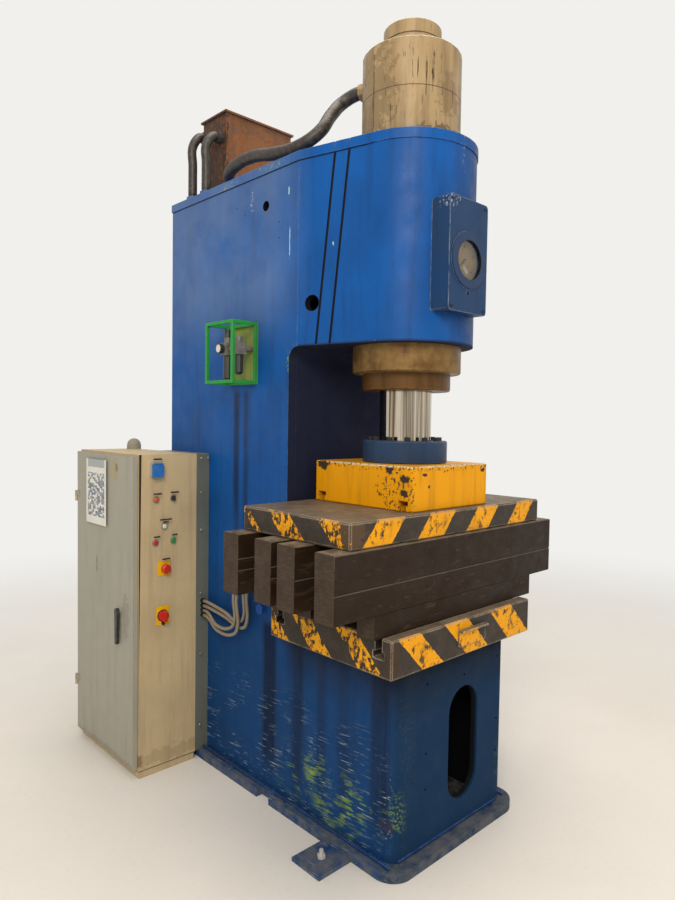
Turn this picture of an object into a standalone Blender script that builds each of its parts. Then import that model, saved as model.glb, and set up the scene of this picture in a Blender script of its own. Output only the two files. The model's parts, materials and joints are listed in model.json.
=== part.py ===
"""Hydraulic C-frame press with its tooling stack, oil tank, air unit and control cabinet.

Metres, +Z up. The origin is on the floor, straight below the axis of the ram.
The press faces -Y, and +X is to its right when it is seen from the front.
"""
import math

import bmesh
import bpy
from mathutils import Matrix, Vector

# Clearances
CLEAR = 0.0003            # gap between two solids that touch or fit
FUSE = 0.001              # how deep a welded-on shape runs into what carries it
RUN = 0.0003              # gap round a sliding or turning piece
OVERRUN = 0.02            # how far a cutter runs past the solid that it cuts

# Welded C-frame
BODY_WIDTH = 0.666
BODY_FRONT = 0.270        # ram axis to the front face
BODY_REAR = 1.220         # ram axis to the rear face
SIDE_THICK = 0.040
FRONT_THICK = 0.030
REAR_THICK = 0.030
FRONT_EDGE = 0.006        # bevel of the front plate's edges
TABLE_HEIGHT = 0.712      # floor to the top of the table plate
TABLE_THICK = 0.040
THROAT_REAR = 0.320       # ram axis to the throat's rear wall
THROAT_HEIGHT = 1.128     # table to the underside of the head
THROAT_RADIUS = 0.050
THROAT_THICK = 0.030
HEAD_HEIGHT = 0.708       # underside of the head to the cap plate
HEAD_FLOOR_THICK = 0.050
NOSE_RADIUS = 0.255
SHELL_THICK = 0.025
CAP_THICK = 0.035
CAP_LIP = 0.004
SEAM_WIDTH = 0.006
SEAM_DEPTH = 0.004
SEAM_BOTTOM_REAR = 0.185  # rear seam at the underside of the head, behind the ram axis
SEAM_LEAN = 0.072         # how far the seams lean forward over the head's height
SEAM_PITCH = 0.060        # front seam to rear seam
LIFT_HOLE_RADIUS = 0.021
LIFT_HOLE_REAR = 0.477
LIFT_HOLE_DROP = 0.129    # below the cap plate's underside
NOSE_HOLE_RADIUS = 0.030
NOSE_HOLE_REAR = 0.205
NOSE_HOLE_RISE = 0.160    # above the underside of the head
SIDE_TAPS = (             # small holes in the left side: behind the ram axis, and height
    (0.681, 2.451), (0.622, 2.410), (0.973, 2.392), (0.391, 2.338), (0.390, 2.275),
)
SIDE_TAP_RADIUS = 0.004
SIDE_TAP_DEPTH = 0.010

# Base plate and floor lugs
BASE_THICK = 0.035
BASE_MARGIN = 0.046
BASE_CORNER = 0.050
NOTCH_REAR = 0.360
NOTCH_LENGTH = 0.080
NOTCH_DEPTH = 0.030
LUG_THICK = 0.014
LUG_REACH = 0.150
LUG_WIDTH = 0.145
LUG_FRONT = 0.115         # front edge of the side lugs, ahead of the ram axis
LUG_STUD_RADIUS = 0.008
LUG_NUT_RADIUS = 0.015
LUG_NUT_HEIGHT = 0.013
LUG_STUD_HEIGHT = 0.030

# Openings in the front plate
SLOT_OFFSET = 0.055       # to the right of the ram axis
SLOT_WIDTH = 0.180
SLOT_LENGTH = 0.430
SLOT_BOTTOM = 0.135
TAP_RADIUS = 0.006
TAP_SPREAD = 0.219        # from the slot's centre line
TAP_HEIGHTS = (0.245, 0.375, 0.627)
TAP_TOP_DROP = 0.105      # single hole above the slot, below the table's top

# Cylinder and ram
BARREL_RADIUS = 0.190
BARREL_BORE = 0.140
BARREL_LID = 0.050
BARREL_RISE = 0.355       # above the cap plate
BARREL_EDGE = 0.006
HEAD_CAP_RADIUS = 0.111
HEAD_CAP_HEIGHT = 0.105
HEAD_CAP_SPLIT = 0.004
NUT_RADIUS = 0.211
NUT_HEIGHT = 0.102
NUT_EDGE = 0.005
GLAND_RADIUS = 0.172
GLAND_HEIGHT = 0.066
GLAND_SPIGOT = 0.050
GLAND_LIP = 0.012
BUSH_THICK = 0.012
SEAL_HEIGHT = 0.016
ROD_RADIUS = 0.1015
ROD_STUB_RADIUS = 0.065
PISTON_HEIGHT = 0.120
PISTON_RISE = 0.420       # gland to the piston's underside as the ram stands
PISTON_GROOVE = 0.006
FLANGE_RADIUS = 0.165
FLANGE_HEIGHT = 0.085
FLANGE_EDGE = 0.004
SCREW_COUNT = 12
SCREW_CIRCLE = 0.133
SCREW_RADIUS = 0.012
SCREW_HEIGHT = 0.014
PLATEN_WIDTH = 0.450
PLATEN_FRONT = 0.232
PLATEN_REAR = 0.272
PLATEN_HEIGHT = 0.160
PLATEN_EDGE = 0.004
PLATEN_SLOT_INSET = 0.040  # edge of the platen to the middle of its T-slot

# Tooling stack, from the table upwards
BOLSTER_WIDTH = 0.828
BOLSTER_FRONT = 0.321
BOLSTER_REAR = 0.312
BOLSTER_HEIGHT = 0.132
BOLSTER_EDGE = 0.005
BOLSTER_SLOT_INSET = 0.059
BRACKET_WIDTH = 0.160
BRACKET_LEG = 0.060
BRACKET_REACH = 0.022
BRACKET_THICK = 0.006
BRACKET_OFFSET = 0.020
BRACKET_DROP = 0.034
SPACER_LENGTH = 0.940
SPACER_HEIGHT = 0.080
SPACER_WIDTH = 0.080
SPACER_OFFSET = 0.020
BAR_LENGTH = 1.272
BAR_WIDTH = 0.090
BAR_EDGE = 0.003
BAR_ROWS = {              # middle of each row behind the ram axis, and its bars from below
    "front": (-0.236, (0.095, 0.125)),
    "middle": (-0.048, (0.110, 0.110)),
    "inner": (0.076, (0.095, 0.040, 0.085)),
    "rear": (0.264, (0.090, 0.042, 0.088)),
}
PLATE_WIDTH = 1.116
PLATE_FRONT = 0.268
PLATE_REAR = 0.298
PLATE_HEIGHT = 0.090
PLATE_EDGE = 0.006

# T-slots
SLOT_NECK_WIDTH = 0.026
SLOT_HEAD_WIDTH = 0.044
SLOT_NECK_DEPTH = 0.022
SLOT_HEAD_DEPTH = 0.016
DEEP_NECK_WIDTH = 0.030
DEEP_HEAD_WIDTH = 0.050
DEEP_NECK_DEPTH = 0.046
DEEP_HEAD_DEPTH = 0.024

# Gauge housing on the nose
HOUSING_WIDTH = 0.224
HOUSING_HEIGHT = 0.400
HOUSING_OFFSET = -0.020
HOUSING_RISE = 0.104      # underside of the head to the housing's lower edge
HOUSING_FRONT = 0.300     # ram axis to the housing's face
HOUSING_DEPTH = 0.105
HOUSING_CORNER = 0.014
GAUGE_RISE = 0.186        # housing's lower edge to the gauge's centre
GAUGE_BORE = 0.080
GAUGE_DEPTH = 0.030
COVER_RADIUS = 0.100
COVER_THICK = 0.006
COVER_BORE = 0.069
DIAL_THICK = 0.006
POINTER_LENGTH = 0.052
POINTER_WIDTH = 0.006
POINTER_TAIL = 0.016
POINTER_THICK = 0.002
POINTER_HUB = 0.006
POINTER_REST = 220        # degrees from the dial's right, anticlockwise
PIVOT_RADIUS = 0.002
PLUG_DROP = 0.116
PLUG_RADIUS = 0.009
PLUG_DEPTH = 0.010
GLASS_THICK = 0.003

# Oil tank and hoses on the cap plate
TANK_WIDTH = 0.390
TANK_FRONT = 0.972
TANK_DEPTH = 0.196
TANK_HEIGHT = 0.412
TANK_LID_THICK = 0.008
TANK_LID_OVERHANG = 0.010
HOSE_RADIUS = 0.026
RISER_RADIUS = 0.021
SUCTION_INSET = 0.045     # tank's left side to the suction port
SUCTION_ROUTE = (         # right of the ram axis, behind it, and above the cap plate
    (-0.200, 0.900, 0.062), (-0.275, 0.830, 0.065), (-0.296, 0.720, 0.082), (-0.298, 0.600, 0.079),
    (-0.295, 0.470, 0.054), (-0.268, 0.360, 0.057), (-0.225, 0.285, 0.102), (-0.155, 0.285, 0.195),
    (-0.100, 0.278, 0.258),
)
FITTING_LENGTH = 0.030
FITTING_MARGIN = 0.007    # fitting's radius over the hose's

# Air unit in its guard
CAGE_FRONT = 0.520
CAGE_LENGTH = 0.200
CAGE_REACH = 0.125
CAGE_BOTTOM = 1.700
CAGE_HEIGHT = 0.255
CAGE_BAR = 0.013
CAGE_BACK_THICK = 0.003
UNIT_OUT = 0.068          # side plate to the units' axis
UNIT_REARS = (0.560, 0.640)
UNIT_BLOCK = 0.044
UNIT_BLOCK_HEIGHT = 0.052
UNIT_BLOCK_RISE = 0.120   # cage bottom to the blocks' underside
UNIT_BOWL_RADIUS = 0.018
UNIT_BOWL_HEIGHTS = (0.082, 0.104)
UNIT_NECK_RADIUS = 0.015
UNIT_NECK_HEIGHT = 0.022
UNIT_PORT_RADIUS = 0.012
KNOB_RADIUS = 0.016
KNOB_HEIGHT = 0.034
AIR_GAUGE_RADIUS = 0.020
AIR_GAUGE_DEPTH = 0.018
AIR_STEM_RADIUS = 0.006
AIR_STEM_LENGTH = 0.008

# Control cabinet
CABINET_GAP = 0.0655      # side plate to the cabinet's wall
CABINET_DEPTH = 0.300     # along X, with the door
CABINET_WIDTH = 0.593     # along Y
CABINET_FRONT = 0.883     # ram axis to the operating panel
CABINET_TOP = 1.397
CABINET_WALL = 0.003
CABINET_RIM = 0.028
PLINTH_HEIGHT = 0.031
PLINTH_INSET = 0.004
DOOR_DEPTH = 0.020
DOOR_SKIN = 0.003
DOOR_GAP = 0.0015
DOOR_INSET = 0.008        # door's edge to the cabinet's edge
HINGE_RADIUS = 0.007
HINGE_PIN = 0.0035
HINGE_LENGTH = 0.050
HINGE_HEIGHTS = (0.250, 1.150)
HINGE_LEAF = 0.003
HANDLE_HEIGHT = 0.712
HANDLE_FROM_EDGE = 0.130
HANDLE_LENGTH = 0.150
HANDLE_WIDTH = 0.024
HANDLE_THICK = 0.014
HANDLE_PIVOT_RADIUS = 0.009
HANDLE_STANDOFF = 0.008
BACKPLATE_THICK = 0.003
BACKPLATE_MARGIN = 0.060
BACKPLATE_STANDOFF = 0.020
RAIL_HEIGHTS = (0.350, 0.650, 0.950)
RAIL_HEIGHT = 0.035
RAIL_DEPTH = 0.008
DEVICE_COUNTS = (9, 5, 7)
DEVICE_HEIGHT = 0.085
DEVICE_DEPTH = 0.070
DEVICE_GAP = 0.004
TRUNKING_HEIGHTS = (0.200, 0.500, 0.800, 1.100)
TRUNKING_HEIGHT = 0.050
TRUNKING_DEPTH = 0.045
TRUNKING_SPAN_SHARE = 0.92
DEVICE_SPAN_SHARES = (0.80, 0.62, 0.74)

# Devices on the operating panel: place right of the cabinet's outer edge, and height
LAMP_PLACE = (0.098, 1.203)
SELECTOR_PLACE = (0.180, 1.205)
WHITE_PLACE = (0.138, 1.085)
RED_PLACE = (0.096, 1.017)
GREEN_PLACE = (0.181, 1.019)
ESTOP_PLACE = (0.140, 0.900)
MAIN_PLACE = (0.132, 0.694)
SOCKET_PLACE = (0.098, 1.333)
BEZEL_RADIUS = 0.0145
BEZEL_HEIGHT = 0.007
BEZEL_BORE = 0.0115
BUTTON_RADIUS = 0.0105
BUTTON_HEIGHT = 0.011
LAMP_HEIGHT = 0.013
BUTTON_STEM = 0.006
BUTTON_TRAVEL = 0.003
SLEEVE_RADIUS = 0.0105
SLEEVE_DEPTH = 0.014
BEZEL_FLOOR = 0.001
CONTACT_SIDE = 0.030
CONTACT_DEPTH = 0.040
KNOB_GRIP_WIDTH = 0.007
KNOB_GRIP_HEIGHT = 0.012
SELECTOR_HEIGHT = 0.006
PLATE_SIDE = 0.062
DEVICE_PLATE_THICK = 0.002
ESTOP_RADIUS = 0.021
ESTOP_HEAD = 0.016
ESTOP_NECK_RADIUS = 0.012
ESTOP_COLLAR_RADIUS = 0.0155
ESTOP_COLLAR = 0.006
ESTOP_TRAVEL = 0.005
MAIN_RADIUS = 0.023
MAIN_DISC = 0.010
MAIN_GRIP_WIDTH = 0.013
MAIN_GRIP_HEIGHT = 0.020
MAIN_SEAT_RADIUS = 0.026
MAIN_SEAT = 0.004
MAIN_PLATE_HEIGHT = 0.083
PADLOCK_RADIUS = 0.007
PADLOCK_LENGTH = 0.012
PADLOCK_DROP = 0.034
SOCKET_SIDE = 0.052
SOCKET_HEIGHT = 0.066
SOCKET_DEPTH = 0.016
SOCKET_CORNER = 0.006
SOCKET_WELL_RADIUS = 0.020
SOCKET_WELL_DEPTH = 0.013
LID_THICK = 0.010
LID_HINGE_RADIUS = 0.004

# Cables from the cabinet to the frame
CABLE_RADIUS = 0.0075
CABLE_GLAND_RADIUS = 0.0105
CABLE_GLAND_LENGTH = 0.018
TOP_GLAND_PLACE = (0.037, 0.529)   # from the cabinet's inner edge and from its panel
TOP_GLAND_RADIUS = 0.034
TOP_GLAND_HEIGHT = 0.055
SIDE_CAP_REAR = 0.470
SIDE_CAP_HEIGHT = 0.770
SIDE_CAP_RADIUS = 0.022
SIDE_CAP_LENGTH = 0.020
CABLE_LOW = 0.660
CABLE_PITCH = 0.022
CABLE_OUT = 0.033         # side plate to the cables' axis at the cabinet
CABLE_END_REAR = 0.604    # ram axis to the rearmost gland on the frame
CABLE_END_HEIGHT = 0.870
CABLE_TURN = 0.700        # height at which the upper cables turn up
CABLE_SAG = 0.055         # how much lower the sagging cables turn
CABLE_LAYER = 0.0165      # how far the sagging cables hang in front of the others
ROUTE_STEP = 0.018        # shortest step along a hose or cable
ROUTE_RADII = 1.8         # step along a thick hose, in its radii

# Facets round a circle
BIG = 28
MEDIUM = 16
SMALL = 10
SEAT_STEPS = 3 * BIG      # a hollow seat is finer than the round that stands in it

# Places that follow from the sizes above
HALF_WIDTH = BODY_WIDTH / 2
INNER_HALF = HALF_WIDTH - SIDE_THICK - CLEAR
BASE_TOP = BASE_THICK + CLEAR
FRONT_INNER = -BODY_FRONT + FRONT_THICK + CLEAR
HEAD_BOTTOM = TABLE_HEIGHT + THROAT_HEIGHT
HEAD_TOP = HEAD_BOTTOM + HEAD_HEIGHT
CAP_BOTTOM = HEAD_TOP + CLEAR
CAP_TOP = CAP_BOTTOM + CAP_THICK
NOSE_JOINT = THROAT_REAR - THROAT_RADIUS
BARREL_TOP = CAP_TOP + BARREL_RISE
NUT_BOTTOM = HEAD_BOTTOM - CLEAR - NUT_HEIGHT
GLAND_TOP = NUT_BOTTOM - CLEAR
GLAND_BOTTOM = GLAND_TOP - GLAND_HEIGHT
BOLSTER_BOTTOM = TABLE_HEIGHT + CLEAR
BOLSTER_TOP = BOLSTER_BOTTOM + BOLSTER_HEIGHT
SPACER_BOTTOM = BOLSTER_TOP + CLEAR
SPACER_TOP = SPACER_BOTTOM + SPACER_HEIGHT
STACK_TOP = SPACER_TOP + max(sum(bars) for _, bars in BAR_ROWS.values())
PLATE_BOTTOM = STACK_TOP + CLEAR
PLATE_TOP = PLATE_BOTTOM + PLATE_HEIGHT
PLATEN_BOTTOM = PLATE_TOP + CLEAR
PLATEN_TOP = PLATEN_BOTTOM + PLATEN_HEIGHT
FLANGE_BOTTOM = PLATEN_TOP + CLEAR
FLANGE_TOP = FLANGE_BOTTOM + FLANGE_HEIGHT
PISTON_BOTTOM = GLAND_TOP + PISTON_RISE
CABINET_X1 = -HALF_WIDTH - CABINET_GAP
CABINET_X0 = CABINET_X1 - CABINET_DEPTH
SHELL_X0 = CABINET_X0 + DOOR_DEPTH + DOOR_GAP
CABINET_REAR = CABINET_FRONT + CABINET_WIDTH
PANEL_Y = CABINET_FRONT
CABLE_COUNT = 4
CABLE_STARTS = [CABLE_LOW + CABLE_PITCH * i for i in range(CABLE_COUNT)]
CABLE_ENDS = [CABLE_END_REAR - CABLE_PITCH * i for i in (1, 0, 3, 2)]
GLAND_TIP = -HALF_WIDTH - CABLE_GLAND_LENGTH
RISER_PORT = RISER_RADIUS + FITTING_MARGIN
HOSE_PORT = HOSE_RADIUS + FITTING_MARGIN
RISER_YS = (TANK_FRONT + TANK_DEPTH / 5, TANK_FRONT + TANK_DEPTH * 4 / 5)
RISER_X = -TANK_WIDTH / 2 - 3 * RISER_PORT
PORT_HEIGHT = CAP_TOP + BARREL_RISE * 4 / 5
PORT_ANGLE = math.radians(108)
PANEL_PLACES = (LAMP_PLACE, SELECTOR_PLACE, WHITE_PLACE, RED_PLACE, GREEN_PLACE, ESTOP_PLACE, MAIN_PLACE)
# Place, ring radius, ring height, bore and depth of floor of each device on the panel
DEVICES = [(place, BEZEL_RADIUS, BEZEL_HEIGHT, BEZEL_BORE, BEZEL_FLOOR) for place in PANEL_PLACES[:5]]
DEVICES.append((ESTOP_PLACE, ESTOP_COLLAR_RADIUS, DEVICE_PLATE_THICK + ESTOP_COLLAR, ESTOP_NECK_RADIUS + RUN,
                DEVICE_PLATE_THICK + BEZEL_FLOOR))
DEVICES.append((MAIN_PLACE, MAIN_SEAT_RADIUS, DEVICE_PLATE_THICK + MAIN_SEAT, BUTTON_STEM + RUN,
                DEVICE_PLATE_THICK + BEZEL_FLOOR))


def clear_scene():
    """Remove every object, so that the file holds the press alone."""
    for obj in list(bpy.data.objects):
        bpy.data.objects.remove(obj, do_unlink=True)


def paint(name, colour, roughness, metallic=0.0):
    """One Principled material."""
    material = bpy.data.materials.new(name)
    material.use_nodes = True
    shader = material.node_tree.nodes["Principled BSDF"]
    shader.inputs["Base Color"].default_value = (*colour, 1.0)
    shader.inputs["Roughness"].default_value = roughness
    shader.inputs["Metallic"].default_value = metallic
    return material


def make_object(name, bm, material, smooth=None):
    """Turn a bmesh into a named object; smooth is the angle that rounds stay smooth under."""
    bmesh.ops.recalc_face_normals(bm, faces=bm.faces)
    mesh = bpy.data.meshes.new(name)
    bm.to_mesh(mesh)
    bm.free()
    obj = bpy.data.objects.new(name, mesh)
    bpy.context.scene.collection.objects.link(obj)
    if material is not None:
        mesh.materials.append(material)
    if smooth is not None:
        mesh.shade_smooth()
        mesh.set_sharp_from_angle(angle=math.radians(smooth))
    return obj


def prism(bm, outline, low, high, axis="Z"):
    """Add a straight extrusion of a 2-D outline; the outline lies across the axis."""
    def place(u, v, w):
        return {"X": (w, u, v), "Y": (u, w, v), "Z": (u, v, w)}[axis]
    bottom = [bm.verts.new(place(u, v, low)) for u, v in outline]
    top = [bm.verts.new(place(u, v, high)) for u, v in outline]
    bm.faces.new(bottom)
    bm.faces.new(top)
    count = len(outline)
    for i in range(count):
        j = (i + 1) % count
        bm.faces.new((bottom[i], bottom[j], top[j], top[i]))


def block(bm, low, high):
    """Add a box between two corners."""
    prism(bm, [(low[0], low[1]), (high[0], low[1]), (high[0], high[1]), (low[0], high[1])], low[2], high[2])


def turned(bm, profile, at=(0, 0, 0), axis="Z", steps=BIG):
    """Add a body of revolution from (radius, height) points; a radius of zero is on the axis."""
    spin = {"Z": Matrix.Identity(4), "X": Matrix.Rotation(math.radians(90), 4, "Y"),
            "Y": Matrix.Rotation(math.radians(-90), 4, "X"), "-Y": Matrix.Rotation(math.radians(90), 4, "X"),
            "-X": Matrix.Rotation(math.radians(-90), 4, "Y")}[axis]
    place = Matrix.Translation(at) @ spin
    rings = []
    for radius, height in profile:
        if radius == 0:
            rings.append([bm.verts.new(place @ Vector((0, 0, height)))])
            continue
        ring = []
        for i in range(steps):
            angle = 2 * math.pi * i / steps
            spoke = Vector((radius * math.cos(angle), radius * math.sin(angle), height))
            ring.append(bm.verts.new(place @ spoke))
        rings.append(ring)
    closed = profile[0][0] > 0
    pairs = list(zip(rings, rings[1:])) + ([(rings[-1], rings[0])] if closed else [])
    for lower, upper in pairs:
        for i in range(steps):
            j = (i + 1) % steps
            if len(lower) == 1 and len(upper) == 1:
                break
            if len(lower) == 1:
                bm.faces.new((lower[0], upper[i], upper[j]))
            elif len(upper) == 1:
                bm.faces.new((lower[i], lower[j], upper[0]))
            else:
                bm.faces.new((lower[i], lower[j], upper[j], upper[i]))


def drum(bm, radius, low, high, at=(0, 0, 0), axis="Z", steps=BIG, edge=0.0):
    """Add a plain cylinder, with a small chamfer on both rims if edge is given."""
    profile = [(0, low), (radius, low), (radius, high), (0, high)]
    if edge:
        profile = [(0, low), (radius - edge, low), (radius, low + edge),
                   (radius, high - edge), (radius - edge, high), (0, high)]
    turned(bm, profile, at, axis, steps)


def solid(name, material, build, smooth=None, bevel=0.0, segments=1):
    """Run a builder on a new bmesh and finish it, with a live bevel where one is asked for."""
    bm = bmesh.new()
    build(bm)
    obj = make_object(name, bm, material, smooth)
    if bevel:
        add_bevel(obj, bevel, segments)
    return obj


def add_bevel(obj, width, segments=1):
    """Break the sharp edges of a solid."""
    bevel = obj.modifiers.new("edges", "BEVEL")
    bevel.width = width
    bevel.segments = segments
    bevel.limit_method = "ANGLE"
    bevel.angle_limit = math.radians(50)
    bevel.harden_normals = False


def cut(obj, name, build):
    """Cut a solid with a hidden tool."""
    bm = bmesh.new()
    build(bm)
    tool = make_object(name, bm, None)
    tool.hide_render = True
    tool.display_type = "WIRE"
    boolean = obj.modifiers.new(name, "BOOLEAN")
    boolean.operation = "DIFFERENCE"
    boolean.solver = "EXACT"
    boolean.object = tool
    return obj


def arc(centre, radius, start, end, steps):
    """Points on an arc, in degrees, both ends included."""
    return [(centre[0] + radius * math.cos(math.radians(start + (end - start) * i / steps)),
             centre[1] + radius * math.sin(math.radians(start + (end - start) * i / steps)))
            for i in range(steps + 1)]


def rounded(low, high, radius, steps=4):
    """A rectangle with round corners."""
    corners = [((high[0] - radius, high[1] - radius), 0), ((low[0] + radius, high[1] - radius), 90),
               ((low[0] + radius, low[1] + radius), 180), ((high[0] - radius, low[1] + radius), 270)]
    points = []
    for centre, start in corners:
        points += arc(centre, radius, start, start + 90, steps)
    return points


def nose_tangent():
    """Angle at which the slanting cheek of the nose runs into its round front."""
    distance = math.hypot(HALF_WIDTH, NOSE_JOINT)
    return math.atan2(NOSE_JOINT, -HALF_WIDTH) + math.acos(NOSE_RADIUS / distance)


def cheek_point(y, inset=0.0):
    """Point on the left cheek at a distance behind the ram axis, moved inwards by inset."""
    angle = nose_tangent()
    radius = NOSE_RADIUS - inset
    touch = Vector((radius * math.cos(angle), radius * math.sin(angle)))
    run = Vector((-HALF_WIDTH - NOSE_RADIUS * math.cos(angle), NOSE_JOINT - NOSE_RADIUS * math.sin(angle)))
    return touch + run * ((y - touch.y) / run.y)


def nose_outline(inset, joint=None, steps=20):
    """Plan of the nose from the left joint round the front to the right joint."""
    start = cheek_point(NOSE_JOINT if joint is None else joint, inset)
    angle = math.degrees(nose_tangent())
    front = arc((0, 0), NOSE_RADIUS - inset, angle, 540 - angle, steps)
    return [(start.x, start.y)] + front + [(-start.x, start.y)]


def side_outline():
    """Side plate: column, lower body and the round corner of the throat, in Y and Z."""
    corner = arc((THROAT_REAR - THROAT_RADIUS, HEAD_BOTTOM - THROAT_RADIUS), THROAT_RADIUS, 0, 90, 6)
    return ([(FRONT_INNER, BASE_TOP), (FRONT_INNER, TABLE_HEIGHT), (THROAT_REAR, TABLE_HEIGHT)]
            + corner + [(NOSE_JOINT + CLEAR, HEAD_BOTTOM), (NOSE_JOINT + CLEAR, HEAD_TOP),
                        (BODY_REAR, HEAD_TOP), (BODY_REAR, BASE_TOP)])


def make_base(paints):
    """Floor plate with round front corners, notched sides, and lugs bolted to the floor."""
    half = HALF_WIDTH + BASE_MARGIN
    front = -BODY_FRONT - BASE_MARGIN
    rear = BODY_REAR + BASE_MARGIN
    notch_end = NOTCH_REAR + NOTCH_LENGTH
    right = [(half, NOTCH_REAR), (half - NOTCH_DEPTH, NOTCH_REAR), (half - NOTCH_DEPTH, notch_end),
        (half, notch_end)]
    left = [(-x, y) for x, y in reversed(right)]
    outline = (arc((-half + BASE_CORNER, front + BASE_CORNER), BASE_CORNER, 180, 270, 6)
               + arc((half - BASE_CORNER, front + BASE_CORNER), BASE_CORNER, 270, 360, 6)
               + right + [(half, rear), (-half, rear)] + left)
    base = solid("base_plate", paints["frame"], lambda bm: prism(bm, outline, 0, BASE_THICK))

    inner = half - FUSE
    places = []
    for side in (-1, 1):
        x0, x1 = sorted((side * inner, side * (half + LUG_REACH)))
        places.append(((x0, -LUG_FRONT), (x1, -LUG_FRONT + LUG_WIDTH)))
        edge = side * (half - LUG_WIDTH)
        x0, x1 = sorted((edge, edge + side * LUG_WIDTH * 2 / 3))
        places.append(((x0, rear - FUSE), (x1, rear + LUG_REACH)))

    def lugs(bm):
        for low, high in places:
            block(bm, (*low, 0), (*high, LUG_THICK))

    def nuts(bm):
        for low, high in places:
            middle = ((low[0] + high[0]) / 2, (low[1] + high[1]) / 2, LUG_THICK)
            turned(bm, [(0, -FUSE), (LUG_NUT_RADIUS, -FUSE), (LUG_NUT_RADIUS, LUG_NUT_HEIGHT),
                        (LUG_STUD_RADIUS, LUG_NUT_HEIGHT), (LUG_STUD_RADIUS, LUG_STUD_HEIGHT),
                        (0, LUG_STUD_HEIGHT)], middle, steps=6)

    unite(base, "base_plate_lugs", lugs)
    unite(base, "base_plate_nuts", nuts)


def side_glands(bm):
    """Cable glands and the blue plug on the left side plate."""
    plate = -HALF_WIDTH + FUSE
    for y in CABLE_ENDS:
        drum(bm, CABLE_GLAND_RADIUS, GLAND_TIP, plate, (0, y, CABLE_END_HEIGHT), "X", SMALL)
    drum(bm, SIDE_CAP_RADIUS, -HALF_WIDTH - SIDE_CAP_LENGTH, plate, (0, SIDE_CAP_REAR, SIDE_CAP_HEIGHT),
        "X", MEDIUM)


def side_taps(bm):
    """Small tapped holes in the head's left side."""
    for y, z in SIDE_TAPS:
        drum(bm, SIDE_TAP_RADIUS, -HALF_WIDTH - OVERRUN, -HALF_WIDTH + SIDE_TAP_DEPTH, (0, y, z), "X", SMALL)


def make_frame(paints):
    """Plates of the welded C-frame."""
    frame = paints["frame"]
    for name, side in (("side_plate_left", -1), ("side_plate_right", 1)):
        x0, x1 = sorted((side * HALF_WIDTH, side * (HALF_WIDTH - SIDE_THICK)))
        plate = solid(name, frame, lambda bm: prism(bm, side_outline(), x0, x1, "X"))
        cut(plate, name + "_hole", lambda bm: drum(
            bm, LIFT_HOLE_RADIUS, x0 - OVERRUN, x1 + OVERRUN,
            (0, LIFT_HOLE_REAR, HEAD_TOP - LIFT_HOLE_DROP), "X", MEDIUM))
        if side < 0:
            unite(plate, name + "_glands", side_glands)
            cut(plate, name + "_taps", side_taps)

    front = solid("front_plate", frame, lambda bm: block(
        bm, (-HALF_WIDTH, -BODY_FRONT, BASE_TOP), (HALF_WIDTH, -BODY_FRONT + FRONT_THICK, TABLE_HEIGHT)),
        bevel=FRONT_EDGE, segments=2)
    radius = SLOT_WIDTH / 2
    low = SLOT_BOTTOM + radius
    high = SLOT_BOTTOM + SLOT_LENGTH - radius
    slot = arc((SLOT_OFFSET, high), radius, 0, 180, 12) + arc((SLOT_OFFSET, low), radius, 180, 360, 12)
    cutter_front = -BODY_FRONT - OVERRUN
    cutter_rear = -BODY_FRONT + FRONT_THICK + OVERRUN

    def front_cuts(bm):
        prism(bm, slot, cutter_front, cutter_rear, "Y")
        for side in (-1, 1):
            for height in TAP_HEIGHTS:
                drum(bm, TAP_RADIUS, cutter_front, cutter_rear,
                    (SLOT_OFFSET + side * TAP_SPREAD, 0, height), "Y", SMALL)
        drum(bm, TAP_RADIUS, cutter_front, cutter_rear, (SLOT_OFFSET, 0, TABLE_HEIGHT - TAP_TOP_DROP), "Y",
            SMALL)

    cut(front, "front_plate_openings", front_cuts)

    solid("table_plate", frame, lambda bm: block(
        bm, (-INNER_HALF, FRONT_INNER, TABLE_HEIGHT - TABLE_THICK),
        (INNER_HALF, THROAT_REAR + THROAT_THICK, TABLE_HEIGHT)))
    solid("rear_plate", frame, lambda bm: block(
        bm, (-INNER_HALF, BODY_REAR - REAR_THICK, BASE_TOP), (INNER_HALF, BODY_REAR, HEAD_TOP)))

    centre = (THROAT_REAR - THROAT_RADIUS, HEAD_BOTTOM - THROAT_RADIUS)
    foot = TABLE_HEIGHT + CLEAR
    liner = ([(THROAT_REAR, foot)] + arc(centre, THROAT_RADIUS, 0, 90, 6)
             + arc(centre, THROAT_RADIUS + THROAT_THICK, 90, 0, 6) + [(THROAT_REAR + THROAT_THICK, foot)])
    solid("throat_plate", frame, lambda bm: prism(bm, liner, -INNER_HALF, INNER_HALF, "X"), smooth=25)

    inside = nose_outline(SHELL_THICK + CLEAR, NOSE_JOINT - CLEAR)
    floor = solid("head_floor", frame,
        lambda bm: prism(bm, inside, HEAD_BOTTOM, HEAD_BOTTOM + HEAD_FLOOR_THICK))
    cut(floor, "head_floor_bore", lambda bm: drum(
        bm, BARREL_RADIUS + CLEAR, HEAD_BOTTOM - OVERRUN, HEAD_BOTTOM + HEAD_FLOOR_THICK + OVERRUN))


def seam(bm, side, rear_bottom, inset, low, high):
    """One leaning groove in a cheek of the nose, between two heights."""
    def station(height):
        y = rear_bottom - SEAM_LEAN * (height - HEAD_BOTTOM) / HEAD_HEIGHT
        corners = []
        for edge, depth in ((-1, -OVERRUN), (1, -OVERRUN), (1, SEAM_DEPTH), (-1, SEAM_DEPTH)):
            point = cheek_point(y + edge * SEAM_WIDTH / 2, inset + depth)
            corners.append(bm.verts.new((-side * point.x, point.y, height)))
        return corners
    bottom, top = station(low), station(high)
    bm.faces.new(bottom)
    bm.faces.new(top)
    for i in range(4):
        j = (i + 1) % 4
        bm.faces.new((bottom[i], bottom[j], top[j], top[i]))


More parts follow.
